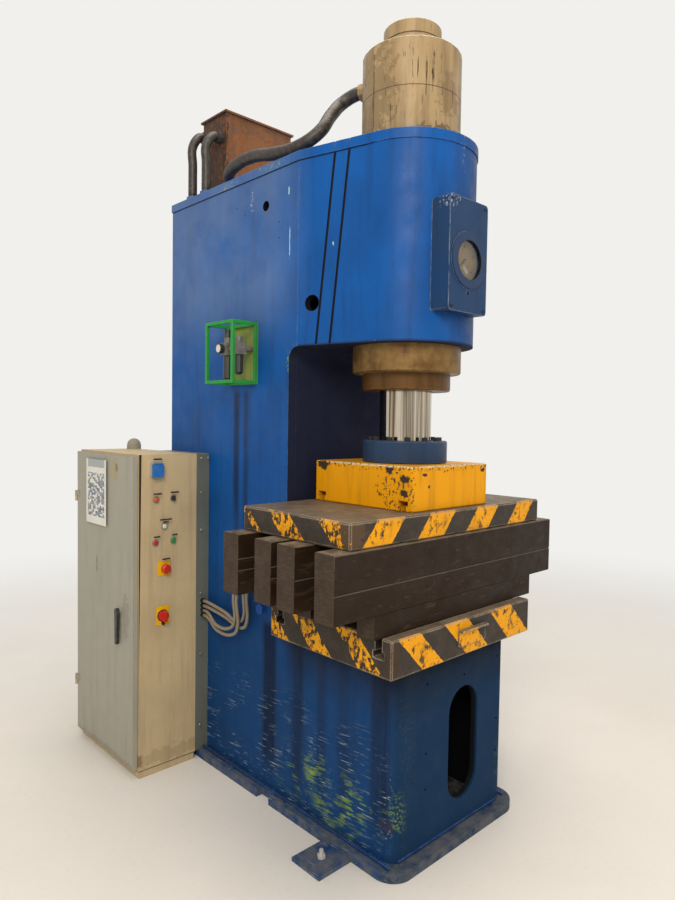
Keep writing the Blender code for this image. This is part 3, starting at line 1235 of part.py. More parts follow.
def make_door(paints, low, high):
    """Door tray on two lift-off hinges, with its swing handle."""
    skin, edge = DOOR_SKIN, DOOR_INSET
    hinge_x, hinge_y = hinge_axis()
    half = HINGE_LENGTH / 2
    pin_bore = HINGE_PIN + RUN
    handle_y = CABINET_FRONT + HANDLE_FROM_EDGE
    at = (CABINET_X0, handle_y, HANDLE_HEIGHT)
    outer_low = (CABINET_X0, low[1] + edge, low[2] + edge)
    outer_high = (CABINET_X0 + DOOR_DEPTH, high[1] - edge, high[2] - edge)
    door = solid("cabinet_door", paints["door"], lambda bm: block(bm, outer_low, outer_high))
    cut(door, "cabinet_door_inside", lambda bm: block(
        bm, (outer_low[0] + skin, outer_low[1] + skin, outer_low[2] + skin),
        (outer_high[0] + OVERRUN, outer_high[1] - skin, outer_high[2] - skin)))

    def leaves(bm):
        for z in HINGE_HEIGHTS:
            block(bm, (hinge_x - HINGE_LEAF / 2, hinge_y - HINGE_RADIUS - CABINET_RIM, z + half + RUN),
                  (CABINET_X0 + FUSE, hinge_y - pin_bore - FUSE, z + HINGE_LENGTH))

    def knuckles(bm):
        for z in HINGE_HEIGHTS:
            start, end = z + half + RUN, z + HINGE_LENGTH
            turned(bm, [(pin_bore, start), (HINGE_RADIUS, start), (HINGE_RADIUS, end), (pin_bore, end)],
                   (hinge_x, hinge_y, 0), "Z", SMALL)
        drum(bm, HANDLE_WIDTH / 2, -FUSE, HANDLE_STANDOFF - RUN, at, "-X", MEDIUM)

    unite(door, "cabinet_door_leaves", leaves)
    unite(door, "cabinet_door_knuckles", knuckles)
    cut(door, "cabinet_door_hole", lambda bm: drum(
        bm, HANDLE_PIVOT_RADIUS + RUN, -OVERRUN, OVERRUN, at, "X", MEDIUM))
    set_origin(door, (hinge_x, hinge_y, low[2]))
    wide = HANDLE_WIDTH / 2
    face = CABINET_X0 - HANDLE_STANDOFF
    lever = (arc((handle_y, HANDLE_HEIGHT), wide, 0, 180, 8)
             + arc((handle_y, HANDLE_HEIGHT - HANDLE_LENGTH + wide), wide * 3 / 4, 180, 360, 8))
    handle = solid("door_handle", paints["handle"],
        lambda bm: prism(bm, lever, face - HANDLE_THICK, face, "X"), smooth=30)
    unite(handle, "door_handle_spindle", lambda bm: drum(
        bm, HANDLE_PIVOT_RADIUS, 2 * skin - DOOR_DEPTH, HANDLE_STANDOFF + FUSE, at, "-X", MEDIUM))
    set_origin(handle, at)


def push(name, material, place, radius, base, top, neck=0.0, neck_base=0.0):
    """Button head on a stem that slides in its bezel; neck is the thinner part under a wide head."""
    at = (CABINET_X0 + place[0], PANEL_Y, place[1])
    foot = -SLEEVE_DEPTH + 2 * ESTOP_TRAVEL
    profile = [(0, foot), (BUTTON_STEM, foot)]
    if neck:
        profile += [(BUTTON_STEM, neck_base), (neck, neck_base), (neck, base)]
    else:
        profile += [(BUTTON_STEM, base)]
    round_edge = (top - base) / 3
    profile += [(radius, base), (radius, top - round_edge), (radius - round_edge, top), (0, top)]
    obj = solid(name, material, lambda bm: turned(bm, profile, at, "-Y", MEDIUM), smooth=40)
    return set_origin(obj, at)


def rotary(name, material, place, radius, base, disc, grip_width, grip_height):
    """Round knob with a grip bar across it, on a stem in its bezel."""
    at = (CABINET_X0 + place[0], PANEL_Y, place[1])
    foot = -SLEEVE_DEPTH + 2 * ESTOP_TRAVEL
    obj = solid(name, material, lambda bm: turned(bm, [
        (0, foot), (BUTTON_STEM, foot), (BUTTON_STEM, base), (radius, base), (radius, base + disc),
        (0, base + disc)],
        at, "-Y", MEDIUM), smooth=30)
    half_grip = grip_width / 2
    reach = math.sqrt(radius ** 2 - half_grip ** 2) - CLEAR
    front = at[1] - base - disc
    unite(obj, name + "_grip", lambda bm: block(
        bm, (at[0] - half_grip, front - grip_height, at[2] - reach),
        (at[0] + half_grip, front + disc / 2, at[2] + reach)))
    return set_origin(obj, at)


def make_panel(paints):
    """Lamp, switches, buttons, main switch and covered socket of the operating panel."""
    rest = BEZEL_FLOOR + BUTTON_TRAVEL + RUN
    push("lamp_lens", paints["amber"], LAMP_PLACE, BUTTON_RADIUS, BEZEL_FLOOR + CLEAR, LAMP_HEIGHT)
    push("button_white", paints["white"], WHITE_PLACE, BUTTON_RADIUS, rest, BUTTON_HEIGHT)
    push("button_red", paints["red"], RED_PLACE, BUTTON_RADIUS, rest, BUTTON_HEIGHT)
    push("button_green", paints["go_green"], GREEN_PLACE, BUTTON_RADIUS, rest, BUTTON_HEIGHT)
    rotary("selector_knob", paints["black"], SELECTOR_PLACE, BUTTON_RADIUS, BEZEL_FLOOR + RUN,
        SELECTOR_HEIGHT,
           KNOB_GRIP_WIDTH, KNOB_GRIP_HEIGHT)
    rotary("main_switch", paints["red"], MAIN_PLACE, MAIN_RADIUS, DEVICE_PLATE_THICK + MAIN_SEAT + RUN,
        MAIN_DISC,
           MAIN_GRIP_WIDTH, MAIN_GRIP_HEIGHT)
    head = DEVICE_PLATE_THICK + ESTOP_COLLAR + ESTOP_TRAVEL + RUN
    push("estop_button", paints["red"], ESTOP_PLACE, ESTOP_RADIUS, head, head + ESTOP_HEAD,
         ESTOP_NECK_RADIUS, DEVICE_PLATE_THICK + BEZEL_FLOOR + ESTOP_TRAVEL + RUN)
    make_socket(paints)


def make_socket(paints):
    """Wall socket with a round well and a lid that hinges at its top."""
    x = CABINET_X0 + SOCKET_PLACE[0]
    z = SOCKET_PLACE[1]
    half, tall = SOCKET_SIDE / 2, SOCKET_HEIGHT / 2
    back = PANEL_Y - CLEAR
    front = back - SOCKET_DEPTH
    lid_top = z + tall - 2 * LID_HINGE_RADIUS - SOCKET_CORNER / 2
    lid_back = front - CLEAR
    lid_front = lid_back - LID_THICK
    axis = (x, (lid_back + lid_front) / 2, lid_top + LID_HINGE_RADIUS - FUSE)
    base = solid("socket_base", paints["socket"], lambda bm: prism(
        bm, rounded((x - half, z - tall), (x + half, z + tall), SOCKET_CORNER), front, back, "Y"), smooth=30)

    def lugs(bm):
        for side in (-1, 1):
            x0, x1 = sorted((x + side * (half - SOCKET_CORNER + RUN), x + side * half))
            block(bm, (x0, axis[1] - FUSE, axis[2] - FUSE), (x1, front + FUSE, axis[2] + LID_HINGE_RADIUS))

    unite(base, "socket_base_lugs", lugs)
    cut(base, "socket_base_well", lambda bm: drum(
        bm, SOCKET_WELL_RADIUS, front - OVERRUN, front + SOCKET_WELL_DEPTH,
        (x, 0, z - SOCKET_CORNER), "Y", MEDIUM))
    lid = solid("socket_lid", paints["blue_plastic"], lambda bm: prism(
        bm, rounded((x - half, z - tall), (x + half, lid_top), SOCKET_CORNER),
        lid_front, lid_back, "Y"), smooth=30)
    inner = half - SOCKET_CORNER
    unite(lid, "socket_lid_barrel", lambda bm: drum(
        bm, LID_HINGE_RADIUS, x - inner, x + inner, (0, axis[1], axis[2]), "X", SMALL))
    set_origin(lid, axis)


def make_cables(paints):
    """Four cables that hang from the duct's glands and rise to the glands on the frame."""
    first = CABINET_FRONT - CABLE_GLAND_LENGTH - CLEAR
    last = GLAND_TIP - 2 * CLEAR
    bend = 3 * CABLE_RADIUS
    for i, (start, y) in enumerate(zip(CABLE_STARTS, CABLE_ENDS)):
        loose = i < CABLE_COUNT / 2
        near = -HALF_WIDTH - CABLE_OUT
        run = near - (CABLE_LAYER if loose else 0)
        turn = CABLE_TURN - (CABLE_SAG - start + CABLE_STARTS[0] if loose else CABLE_STARTS[-1] - start)
        dip = (start + turn) / 2 - (CABLE_SAG / 2 if loose else 0)
        tube("panel_cable_%d" % (i + 1), paints["cable"], [
            (near, first, start), (near, first - bend, start), (run, (first + y) / 2, dip),
            (run, y + bend, turn - CABLE_RADIUS / 2), (run, y, turn + bend),
            (run, y, CABLE_END_HEIGHT - 2 * bend), (last - CABLE_RADIUS / 2, y, CABLE_END_HEIGHT),
            (last, y, CABLE_END_HEIGHT)], CABLE_RADIUS)


def make_paints():
    """Plain colours of the materials."""
    return {
        "frame": paint("frame_blue", (0.045, 0.13, 0.42), 0.45),
        "housing": paint("housing_blue", (0.03, 0.07, 0.18), 0.5),
        "cylinder": paint("cylinder_cream", (0.45, 0.32, 0.14), 0.55),
        "gland": paint("gland_brown", (0.25, 0.14, 0.05), 0.5),
        "chrome": paint("rod_chrome", (0.75, 0.75, 0.75), 0.12, 1.0),
        "bronze": paint("bronze", (0.45, 0.28, 0.10), 0.35, 1.0),
        "seal": paint("seal_rubber", (0.02, 0.02, 0.02), 0.8),
        "flange": paint("flange_grey", (0.10, 0.14, 0.20), 0.5),
        "dark_steel": paint("dark_steel", (0.05, 0.05, 0.05), 0.5, 1.0),
        "yellow": paint("signal_yellow", (0.85, 0.40, 0.01), 0.5),
        "stripe": paint("plate_black", (0.04, 0.03, 0.025), 0.6),
        "bar": paint("bar_steel", (0.08, 0.05, 0.03), 0.6, 1.0),
        "dial": paint("dial_white", (0.75, 0.72, 0.65), 0.5),
        "glass": paint("gauge_glass", (0.8, 0.85, 0.85), 0.05),
        "black": paint("black_plastic", (0.015, 0.015, 0.015), 0.4),
        "rust": paint("tank_brown", (0.20, 0.09, 0.04), 0.6),
        "hose": paint("hose_rubber", (0.03, 0.03, 0.03), 0.7),
        "green": paint("guard_green", (0.02, 0.30, 0.06), 0.5),
        "olive": paint("guard_olive", (0.22, 0.28, 0.07), 0.6),
        "panel": paint("panel_beige", (0.45, 0.35, 0.22), 0.5),
        "door": paint("door_grey", (0.38, 0.38, 0.32), 0.5),
        "duct": paint("duct_grey", (0.11, 0.12, 0.11), 0.5),
        "grey_plastic": paint("grey_plastic", (0.35, 0.35, 0.35), 0.5),
        "zinc": paint("zinc", (0.55, 0.55, 0.55), 0.35, 1.0),
        "handle": paint("handle_black", (0.02, 0.02, 0.02), 0.5),
        "amber": paint("lens_amber", (0.80, 0.22, 0.02), 0.3),
        "white": paint("button_white", (0.80, 0.80, 0.76), 0.4),
        "red": paint("signal_red", (0.60, 0.02, 0.015), 0.4),
        "go_green": paint("button_green", (0.01, 0.25, 0.05), 0.4),
        "socket": paint("socket_grey", (0.30, 0.32, 0.34), 0.5),
        "blue_plastic": paint("blue_plastic", (0.02, 0.10, 0.45), 0.4),
        "cable": paint("cable_grey", (0.50, 0.49, 0.44), 0.6),
    }


def main():
    """Build every piece in place."""
    clear_scene()
    paints = make_paints()
    make_base(paints)
    make_frame(paints)
    make_head(paints)
    make_cylinder(paints)
    make_ram(paints)
    make_tooling(paints)
    make_gauge(paints)
    make_tank(paints)
    make_air_unit(paints)
    make_cabinet(paints)
    make_panel(paints)
    make_cables(paints)


main()
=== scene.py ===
"""Looks of an open-front hydraulic press: enamel, wear, stripes, hoses and small fittings."""

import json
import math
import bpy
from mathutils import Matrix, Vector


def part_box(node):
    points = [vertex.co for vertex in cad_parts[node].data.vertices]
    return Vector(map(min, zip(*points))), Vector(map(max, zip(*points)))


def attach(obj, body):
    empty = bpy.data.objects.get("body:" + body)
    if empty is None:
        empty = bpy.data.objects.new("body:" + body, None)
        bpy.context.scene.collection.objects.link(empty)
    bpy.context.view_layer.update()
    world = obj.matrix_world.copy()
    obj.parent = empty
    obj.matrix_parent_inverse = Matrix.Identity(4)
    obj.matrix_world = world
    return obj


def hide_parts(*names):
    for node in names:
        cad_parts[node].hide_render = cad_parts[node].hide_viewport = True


bl_info = {
    "name": "Open-front hydraulic press",
    "version": (1, 0, 0),
    "blender": (4, 5, 0),
    "location": "3D View > Sidebar > Press",
    "description": "Paints and dresses the packed hydraulic press and sets its studio",
    "category": "Add Mesh",
}

import bpy
from mathutils import Matrix, Vector

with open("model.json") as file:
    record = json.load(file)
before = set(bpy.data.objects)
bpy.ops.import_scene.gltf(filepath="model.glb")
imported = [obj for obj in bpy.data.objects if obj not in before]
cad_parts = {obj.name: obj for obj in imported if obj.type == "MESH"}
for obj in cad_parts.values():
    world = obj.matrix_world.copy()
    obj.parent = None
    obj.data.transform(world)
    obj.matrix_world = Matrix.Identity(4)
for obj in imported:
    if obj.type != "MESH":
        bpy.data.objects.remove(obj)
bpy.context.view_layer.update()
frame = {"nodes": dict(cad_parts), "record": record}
NODES = frame["nodes"]
BODY_OF = {node: body for body, nodes in frame["record"]["behaviour"]["bodies"].items() for node in nodes}
TABLE_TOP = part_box("table_plate")[1][2]
SIDE, FRONT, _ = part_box("front_plate")[0]        # left wall and front of the frame
HALF = -SIDE                                     # half the width of the frame
HEAD_LOW, HEAD_TOP = (corner[2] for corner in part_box("nose_shell"))
BASE_HALF = 0.379                                # half the width of the base plate without its lugs
PANEL = 0.883                                    # front of the cabinet's shell without its devices
LOOKS = dict(NODES)        # what shows for each CAD node: itself, or the smoothed copy in its place

# Turned, bent and domed parts that get a smoothly shaded copy
SMOOTHED = (
    "side_plate_left", "side_plate_right", "nose_shell", "cap_plate", "front_plate", "base_plate",
    "head_floor", "cylinder_barrel", "cylinder_head", "cylinder_nut", "rod_gland", "piston_rod", "piston",
    "rod_flange", "gauge_housing", "oil_tank", "air_unit", "regulator_knob", "cabinet_shell", "cable_duct",
    "door_handle", "lamp_lens", "button_white", "button_red", "button_green", "selector_knob",
    "main_switch", "estop_button", "socket_base", "socket_lid",
)

# Routes of the hoses and cables, from one end to the other, in metres
TANK_HOSE = ((0, 0, 2.6136), (0, 0, 2.6661), (0, 0, 2.7486), (0, 0, 2.8311), (0.0432, 0, 2.8836),
             (0.0537, 0, 2.8836))
TANK_HOSE_X = -0.279
SUCTION_HOSE = (
    (-0.150, 0.9417, 2.6493), (-0.150, 0.9287, 2.6493), (-0.200, 0.900, 2.6453), (-0.275, 0.830, 2.6483),
    (-0.296, 0.720, 2.6653), (-0.298, 0.600, 2.6623), (-0.295, 0.470, 2.6373), (-0.268, 0.360, 2.6403),
    (-0.225, 0.285, 2.6853), (-0.155, 0.285, 2.7783), (-0.100, 0.278, 2.8413), (-0.0721, 0.2219, 2.8673),
    (-0.0681, 0.2095, 2.8673),
)
# Each cable: X along the wall, Y of its end, and the heights of its start, its middle and its lowest bend
CABLES = ((-0.3825, 0.582, 0.660, 0.625, 0.6412), (-0.3825, 0.604, 0.682, 0.647, 0.6632),
          (-0.366, 0.538, 0.704, 0.691, 0.6743), (-0.366, 0.560, 0.726, 0.713, 0.6962))

# Camera as solved from the photograph: its place, then yaw, pitch and roll in degrees
CAMERA_PLACE = (-2.0145, -1.7422, 1.55)
CAMERA_TURN = (-43.4445, -2.4176, 0.8664)
LAMP_TARGET = (0, 0.3, 1.3)

# Colour of the dust that settles on plastics
DUST = "#8c877c"


def srgb(code):
    """Turn an sRGB hex code into the linear colour that Blender's sockets hold."""
    channels = [int(code[i:i + 2], 16) / 255 for i in (1, 3, 5)]
    return tuple(c / 12.92 if c <= 0.04045 else ((c + 0.055) / 1.055) ** 2.4 for c in channels) + (1.0,)


def colour_choice(name, code, what):
    """A colour that can be changed in the sidebar."""
    return bpy.props.FloatVectorProperty(
        name=name, description=what, subtype="COLOR", size=4, min=0.0, max=1.0, default=srgb(code))


def length_choice(name, metres, what):
    """A length that can be changed in the sidebar."""
    return bpy.props.FloatProperty(
        name=name, description=what, subtype="DISTANCE", unit="LENGTH", default=metres)


class PressColours(bpy.types.PropertyGroup):
    """Colours of the paints and materials."""
    frame_blue: colour_choice("Frame blue", "#0454a2", "Enamel of the welded frame")
    gauge_box_blue: colour_choice("Gauge housing blue", "#1c3857", "Enamel of the gauge's housing")
    frame_deep: colour_choice("Frame deep blue", "#05376f", "Darker tone in the frame's enamel")
    old_coat: colour_choice("Old coat", "#6f8c3c", "Older green coat under the blue")
    cylinder_cream: colour_choice("Cylinder cream", "#ab946e", "Oil-stained enamel of the cylinder")
    gland_brown: colour_choice("Gland brown", "#5f401d", "Oiled bronze of the gland and its nut")
    platen_yellow: colour_choice("Platen yellow", "#eca300", "Signal yellow of the platen and the stripes")
    stripe_black: colour_choice("Stripe black", "#35302b", "Black of the striped plates")
    bar_steel: colour_choice("Bar steel", "#281b10", "Rolled sides of the bars")
    panel_beige: colour_choice("Cabinet beige", "#c7b48f", "Powder coat of the cabinet")
    door_grey: colour_choice("Door grey", "#a09d90", "Powder coat of the door")
    duct_grey: colour_choice("Duct grey", "#6a6f68", "Plastic of the cable duct")
    tank_brown: colour_choice("Tank brown", "#7a5740", "Rusty paint of the oil tank")
    guard_green: colour_choice("Guard green", "#1f9a3d", "Enamel of the air unit's guard")


class PressSizes(bpy.types.PropertyGroup):
    """Sizes of the added pieces."""
    weld_leg: length_choice("Weld leg", 0.007, "Leg of the fillet welds")
    hose_pitch: length_choice("Hose rib pitch", 0.010, "From one rib of a hose to the next")
    cable_pitch: length_choice("Cable rib pitch", 0.005, "From one rib of a cable's conduit to the next")
    screw_radius: length_choice("Screw radius", 0.006, "Radius of the small cover screws")
    body_corner: length_choice("Body corner", 0.050, "Radius of the lower body's front corners")
    base_corner: length_choice("Base corner", 0.085, "Radius of the base plate's front corners")
    paper_thickness: length_choice("Paper thickness", 0.0005, "Thickness of the sheet on the door")
    label_thickness: length_choice("Label thickness", 0.0012, "Thickness of the strips over the devices")


class PressStudio(bpy.types.PropertyGroup):
    """Camera, floor and lamps."""
    floor_colour: colour_choice("Floor", "#e9e8e6", "Colour of the floor")
    wall_colour: colour_choice("Backdrop", "#f1f0ed", "Colour of the backdrop")
    focal_length: bpy.props.FloatProperty(
        name="Focal length", description="Lens of the camera, for a 36 mm wide frame", default=35.86)
    key_power: bpy.props.FloatProperty(
        name="Key lamp", description="Power of the large lamp, in watts", subtype="POWER", default=235.0)


# Nodes and masks

def add(tree, kind, sockets=None, **settings):
    """Add one shader node, set it up and fill or link its inputs."""
    node = tree.nodes.new("ShaderNode" + kind)
    for name, value in settings.items():
        setattr(node, name, value)
    for key, value in (sockets or {}).items():
        if isinstance(value, bpy.types.NodeSocket):
            tree.links.new(value, node.inputs[key])
        else:
            node.inputs[key].default_value = value
    return node


def new_finish(name, held=None):
    """Start a material: itself, its shader and the place on the press as a vector.

    held are values that are the same all over, set on the shader's own sockets."""
    material = bpy.data.materials.new(name)
    material.use_nodes = True
    tree = material.node_tree
    shader = tree.nodes["Principled BSDF"]
    for socket, value in (held or {}).items():
        shader.inputs[socket].default_value = value
    return material, shader, add(tree, "TexCoord").outputs["Object"]


def axes_of(vector):
    """The three parts of a place or of a facing."""
    return list(add(vector.id_data, "SeparateXYZ", {0: vector}).outputs)


def facing_of(shader):
    """The three parts of the way that the surface faces."""
    return axes_of(add(shader.id_data, "NewGeometry").outputs["Normal"])


def between(value, start, end, most=1.0):
    """Mask that grows from nothing at start to most at end."""
    limits = {"Value": value, "From Min": start, "From Max": end, "To Max": most}
    return add(value.id_data, "MapRange", limits).outputs[0]


def near(value, centre, half):
    """Mask with sharp ends: it holds within half of one value."""
    return add(value.id_data, "Math", {0: value, 1: centre, 2: half}, operation="COMPARE").outputs[0]


def band(value, centre, half, soft, most=1.0):
    """Mask of a soft-edged band round one value."""
    tree = value.id_data
    past = add(tree, "Math", {0: value, 1: -centre}, operation="ADD").outputs[0]
    away = add(tree, "Math", {0: past}, operation="ABSOLUTE").outputs[0]
    return between(away, half + soft, half, most)


def all_of(*masks):
    """Mask that holds only where all the given masks hold."""
    result = masks[0]
    for mask in masks[1:]:
        result = add(mask.id_data, "Math", {0: result, 1: mask}, operation="MULTIPLY").outputs[0]
    return result


def any_of(*masks):
    """Mask that holds where one of the given masks holds."""
    result = masks[0]
    for mask in masks[1:]:
        result = add(mask.id_data, "Math", {0: result, 1: mask}, operation="MAXIMUM").outputs[0]
    return result


def blotches(place, size, low, high, stretch=(1, 1, 1), most=1.0, detail=4.0):
    """Mask of soft patches of a real size in metres, between two levels of a noise."""
    tree = place.id_data
    where = add(tree, "Mapping", {"Vector": place, "Scale": [s / size for s in stretch]}).outputs[0]
    noise = {"Vector": where, "Scale": 1.0, "Detail": detail, "Roughness": 0.6}
    return between(add(tree, "TexNoise", noise).outputs[0], low, high, most)


def torn_noise(place, size):
    """Noise round zero that tears the outline of a spot."""
    tree, swing = place.id_data, 0.8
    noise = {"Vector": place, "Scale": 1 / size, "Detail": 5.0, "Roughness": 0.7}
    level = add(tree, "TexNoise", noise).outputs[0]
    limits = {"Value": level, "From Min": 0.25, "From Max": 0.75, "To Min": -swing, "To Max": swing}
    return add(tree, "MapRange", limits).outputs[0]


def worn_edges(place, reach, size, low=0.35, high=0.6):
    """Mask of rubbed edges, also used for painted edge highlights: a rounded facing that departs from the
    real one, broken up by noise.
    """
    tree = place.id_data
    rounded = add(tree, "Bevel", {"Radius": reach}, samples=4).outputs[0]
    facing = add(tree, "NewGeometry").outputs["Normal"]
    alike = add(tree, "VectorMath", {0: rounded, 1: facing}, operation="DOT_PRODUCT").outputs["Value"]
    return all_of(between(alike, 0.995, 0.86), blotches(place, size, low, high))


def spot(place, torn, centre, reach, most=1.0):
    """Mask of one ragged patch of paint wear round a point of the press."""
    tree = place.id_data
    moved = {"Vector": place, "Location": [-c / r for c, r in zip(centre, reach)],
             "Scale": [1 / r for r in reach]}
    where = add(tree, "Mapping", moved).outputs[0]
    away = add(tree, "VectorMath", {0: where}, operation="LENGTH").outputs["Value"]
    return between(add(tree, "Math", {0: away, 1: torn}, operation="ADD").outputs[0], 1.0, 0.86, most)


def away_from(place, centre, keep=(1, 1, 1)):
    """Distance from a point: keep drops the axis that a round spot faces along."""
    tree = place.id_data
    moved = {"Vector": place, "Location": [-c * k for c, k in zip(centre, keep)], "Scale": keep}
    where = add(tree, "Mapping", moved).outputs[0]
    return add(tree, "VectorMath", {0: where}, operation="LENGTH").outputs["Value"]


def disc(place, centre, radius, keep=(1, 1, 1)):
    """Mask of a clean round spot."""
    return between(away_from(place, centre, keep), radius + 0.0005, radius)


def linear(colour):
    """A hex code as a linear colour. A socket or a linear colour stays as it is."""
    return srgb(colour) if isinstance(colour, str) else colour


def lay_coats(ground, coats):
    """Lay colours over a ground, each through its mask, and return the last."""
    for mask, colour in coats:
        ground = add(mask.id_data, "Mix", {0: mask, 6: linear(ground), 7: linear(colour)},
                     data_type="RGBA").outputs[2]
    return ground


def paint(shader, ground, coats):
    """Colour a shader: coats over a ground."""
    shader.id_data.links.new(lay_coats(ground, coats), shader.inputs["Base Color"])


def recoat(shader, *coats):
    """Lay more coats over the colour that a finish has."""
    paint(shader, shader.inputs["Base Color"].links[0].from_socket, coats)


def dull(shader, mask, low, high):
    """Roughness that goes from low to high with a mask."""
    level = add(shader.id_data, "MapRange", {"Value": mask, "To Min": low, "To Max": high}).outputs[0]
    shader.id_data.links.new(level, shader.inputs["Roughness"])


def relief(shader, height, depth, edge=0.0):
    """Bump of a real depth on top of a softened edge."""
    tree = shader.id_data
    sockets = {"Height": height, "Distance": depth, "Strength": 1.0}
    if edge:
        sockets["Normal"] = add(tree, "Bevel", {"Radius": edge}, samples=4).outputs[0]
    tree.links.new(add(tree, "Bump", sockets).outputs[0], shader.inputs["Normal"])


def paint_nodes(material, *names):
    """Give a material to CAD nodes, whose shapes stay as they are."""
    for name in names:
        LOOKS[name].data.materials.clear()
        LOOKS[name].data.materials.append(material)


# Modelling helpers

def alone(*pieces):
    """Select the given pieces and nothing else, the first of them active."""
    if bpy.context.object and bpy.context.object.mode != "OBJECT":
        bpy.ops.object.mode_set(mode="OBJECT")
    bpy.ops.object.select_all(action="DESELECT")
    for piece in pieces:
        piece.select_set(True)
    if pieces:
        bpy.context.view_layer.objects.active = pieces[0]


def settle(piece, name, material, body="press", angle=35):
    """Put a finished piece's place into its mesh, name and paint it, and let it ride on a body."""
    alone(piece)
    if piece.type != "MESH":
        bpy.ops.object.convert(target="MESH")
        piece = bpy.context.object
    bpy.ops.object.transform_apply()
    bpy.ops.object.shade_smooth_by_angle(angle=math.radians(angle))
    piece.name = name
    piece.data.name = name
    piece.data.materials.clear()
    piece.data.materials.append(material)
    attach(piece, body)
    return piece


def slab(low, high, bevel=0.0, segments=2):
    """Start a piece as a rounded slab between two corners."""
    alone()
    low, high = Vector(low), Vector(high)
    bpy.ops.mesh.primitive_cube_add(size=1, location=(low + high) / 2)
    bpy.ops.transform.resize(value=high - low)
    bpy.ops.object.transform_apply()
    if bevel:
        bpy.ops.object.mode_set(mode="EDIT")
        bpy.ops.mesh.select_all(action="SELECT")
        bpy.ops.mesh.bevel(offset=bevel, segments=segments, affect="EDGES")
        bpy.ops.object.mode_set(mode="OBJECT")
    return bpy.context.object


def turned(profile, steps=24):
    """Start a piece by turning (radius, height) pairs round Z, ring after ring."""
    alone()
    (radius, height), *rest = profile
    bpy.ops.mesh.primitive_circle_add(
        vertices=steps, radius=radius, fill_type="NGON", location=(0, 0, height))
    bpy.ops.object.transform_apply()
    bpy.ops.object.mode_set(mode="EDIT")
    for wide, high in rest:
        bpy.ops.mesh.extrude_region_move(TRANSFORM_OT_translate={"value": (0, 0, high - height)})
        bpy.ops.transform.resize(value=(wide / radius, wide / radius, 1))
        radius, height = wide, high
    bpy.ops.mesh.select_all(action="SELECT")
    bpy.ops.mesh.normals_make_consistent(inside=False)
    bpy.ops.object.mode_set(mode="OBJECT")
    return bpy.context.object


def looking(way):
    """Turn that points a piece's Z axis a given way."""
    return Vector(way).to_track_quat("Z", "Y").to_matrix().to_4x4()


def copies(piece, turns):
    """Copies of a piece, each with its own mesh, placed by matrices and joined into one."""
    made = []
    for turn in turns:
        twin = piece.copy()
        twin.data = piece.data.copy()
        bpy.context.scene.collection.objects.link(twin)
        twin.matrix_world = turn
        made.append(twin)
    bpy.data.objects.remove(piece)
    return joined(made)


def joined(made):
    """Join pieces into the first of them."""
    alone(*made)
    if len(made) > 1:
        bpy.ops.object.join()
    return bpy.context.object


def screws(name, material, radius, places, way, body="press"):
    """Socket-head screws at places, their heads looking one way."""
    head = turned([(radius, -0.001), (radius, radius * 0.35), (radius * 0.8, radius * 0.55),
                   (radius * 0.45, radius * 0.55), (radius * 0.45, radius * 0.15)], 12)
    settle(copies(head, [Matrix.Translation(place) @ looking(way) for place in places]), name, material, body)


def cable_route(x, y, start, middle, low):
    """A cable's route: out of the duct, sagging along the wall, then up and into the side plate."""
    duct_x, duct_y, bend = -0.366, 0.8422, 0.0225
    return ((duct_x, duct_y + bend, start), (duct_x, duct_y, start), (x, (duct_y + y + bend) / 2, middle),
            (x, y + bend, low), (x, y, low + 0.0263), (x, y, 0.825), (-0.3551, y, 0.870), (-0.351, y, 0.870))


def ribbed_hose(node, points, radius, rib, pitch, steps, material):
    """A corrugated hose: one rib, repeated along its length and bent along its route."""
    curve = bpy.data.curves.new(node + "_route", "CURVE")
    curve.dimensions = "3D"
    spline = curve.splines.new("BEZIER")
    spline.bezier_points.add(len(points) - 1)
    for knot, place in zip(spline.bezier_points, points):
        knot.co = place
        knot.handle_left_type = knot.handle_right_type = "AUTO"
    route = bpy.data.objects.new(node + "_route", curve)
    bpy.context.scene.collection.objects.link(route)
    alone()
    bpy.ops.mesh.primitive_cylinder_add(vertices=steps, radius=radius, depth=pitch, end_fill_type="NOTHING",
                                        location=(pitch / 2, 0, 0), rotation=(0, math.pi / 2, 0))
    bpy.ops.object.transform_apply()
    bpy.ops.object.mode_set(mode="EDIT")
    bpy.ops.mesh.select_all(action="SELECT")
    bpy.ops.mesh.bisect(plane_co=(pitch / 2, 0, 0), plane_no=(1, 0, 0))
    bpy.ops.transform.resize(value=(1, 1 - rib / radius, 1 - rib / radius))
    bpy.ops.object.mode_set(mode="OBJECT")
    hose = bpy.context.object
    row = hose.modifiers.new("row", "ARRAY")
    row.fit_type = "FIT_CURVE"
    row.curve = route
    row.use_merge_vertices = True
    bend = hose.modifiers.new("bend", "CURVE")
    bend.object = route
    for modifier in ("row", "bend"):
        bpy.ops.object.modifier_apply(modifier=modifier)
    bpy.data.objects.remove(route)
    settle(hose, node + "_ribbed", material, angle=80)
    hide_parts(node)


# Finishes

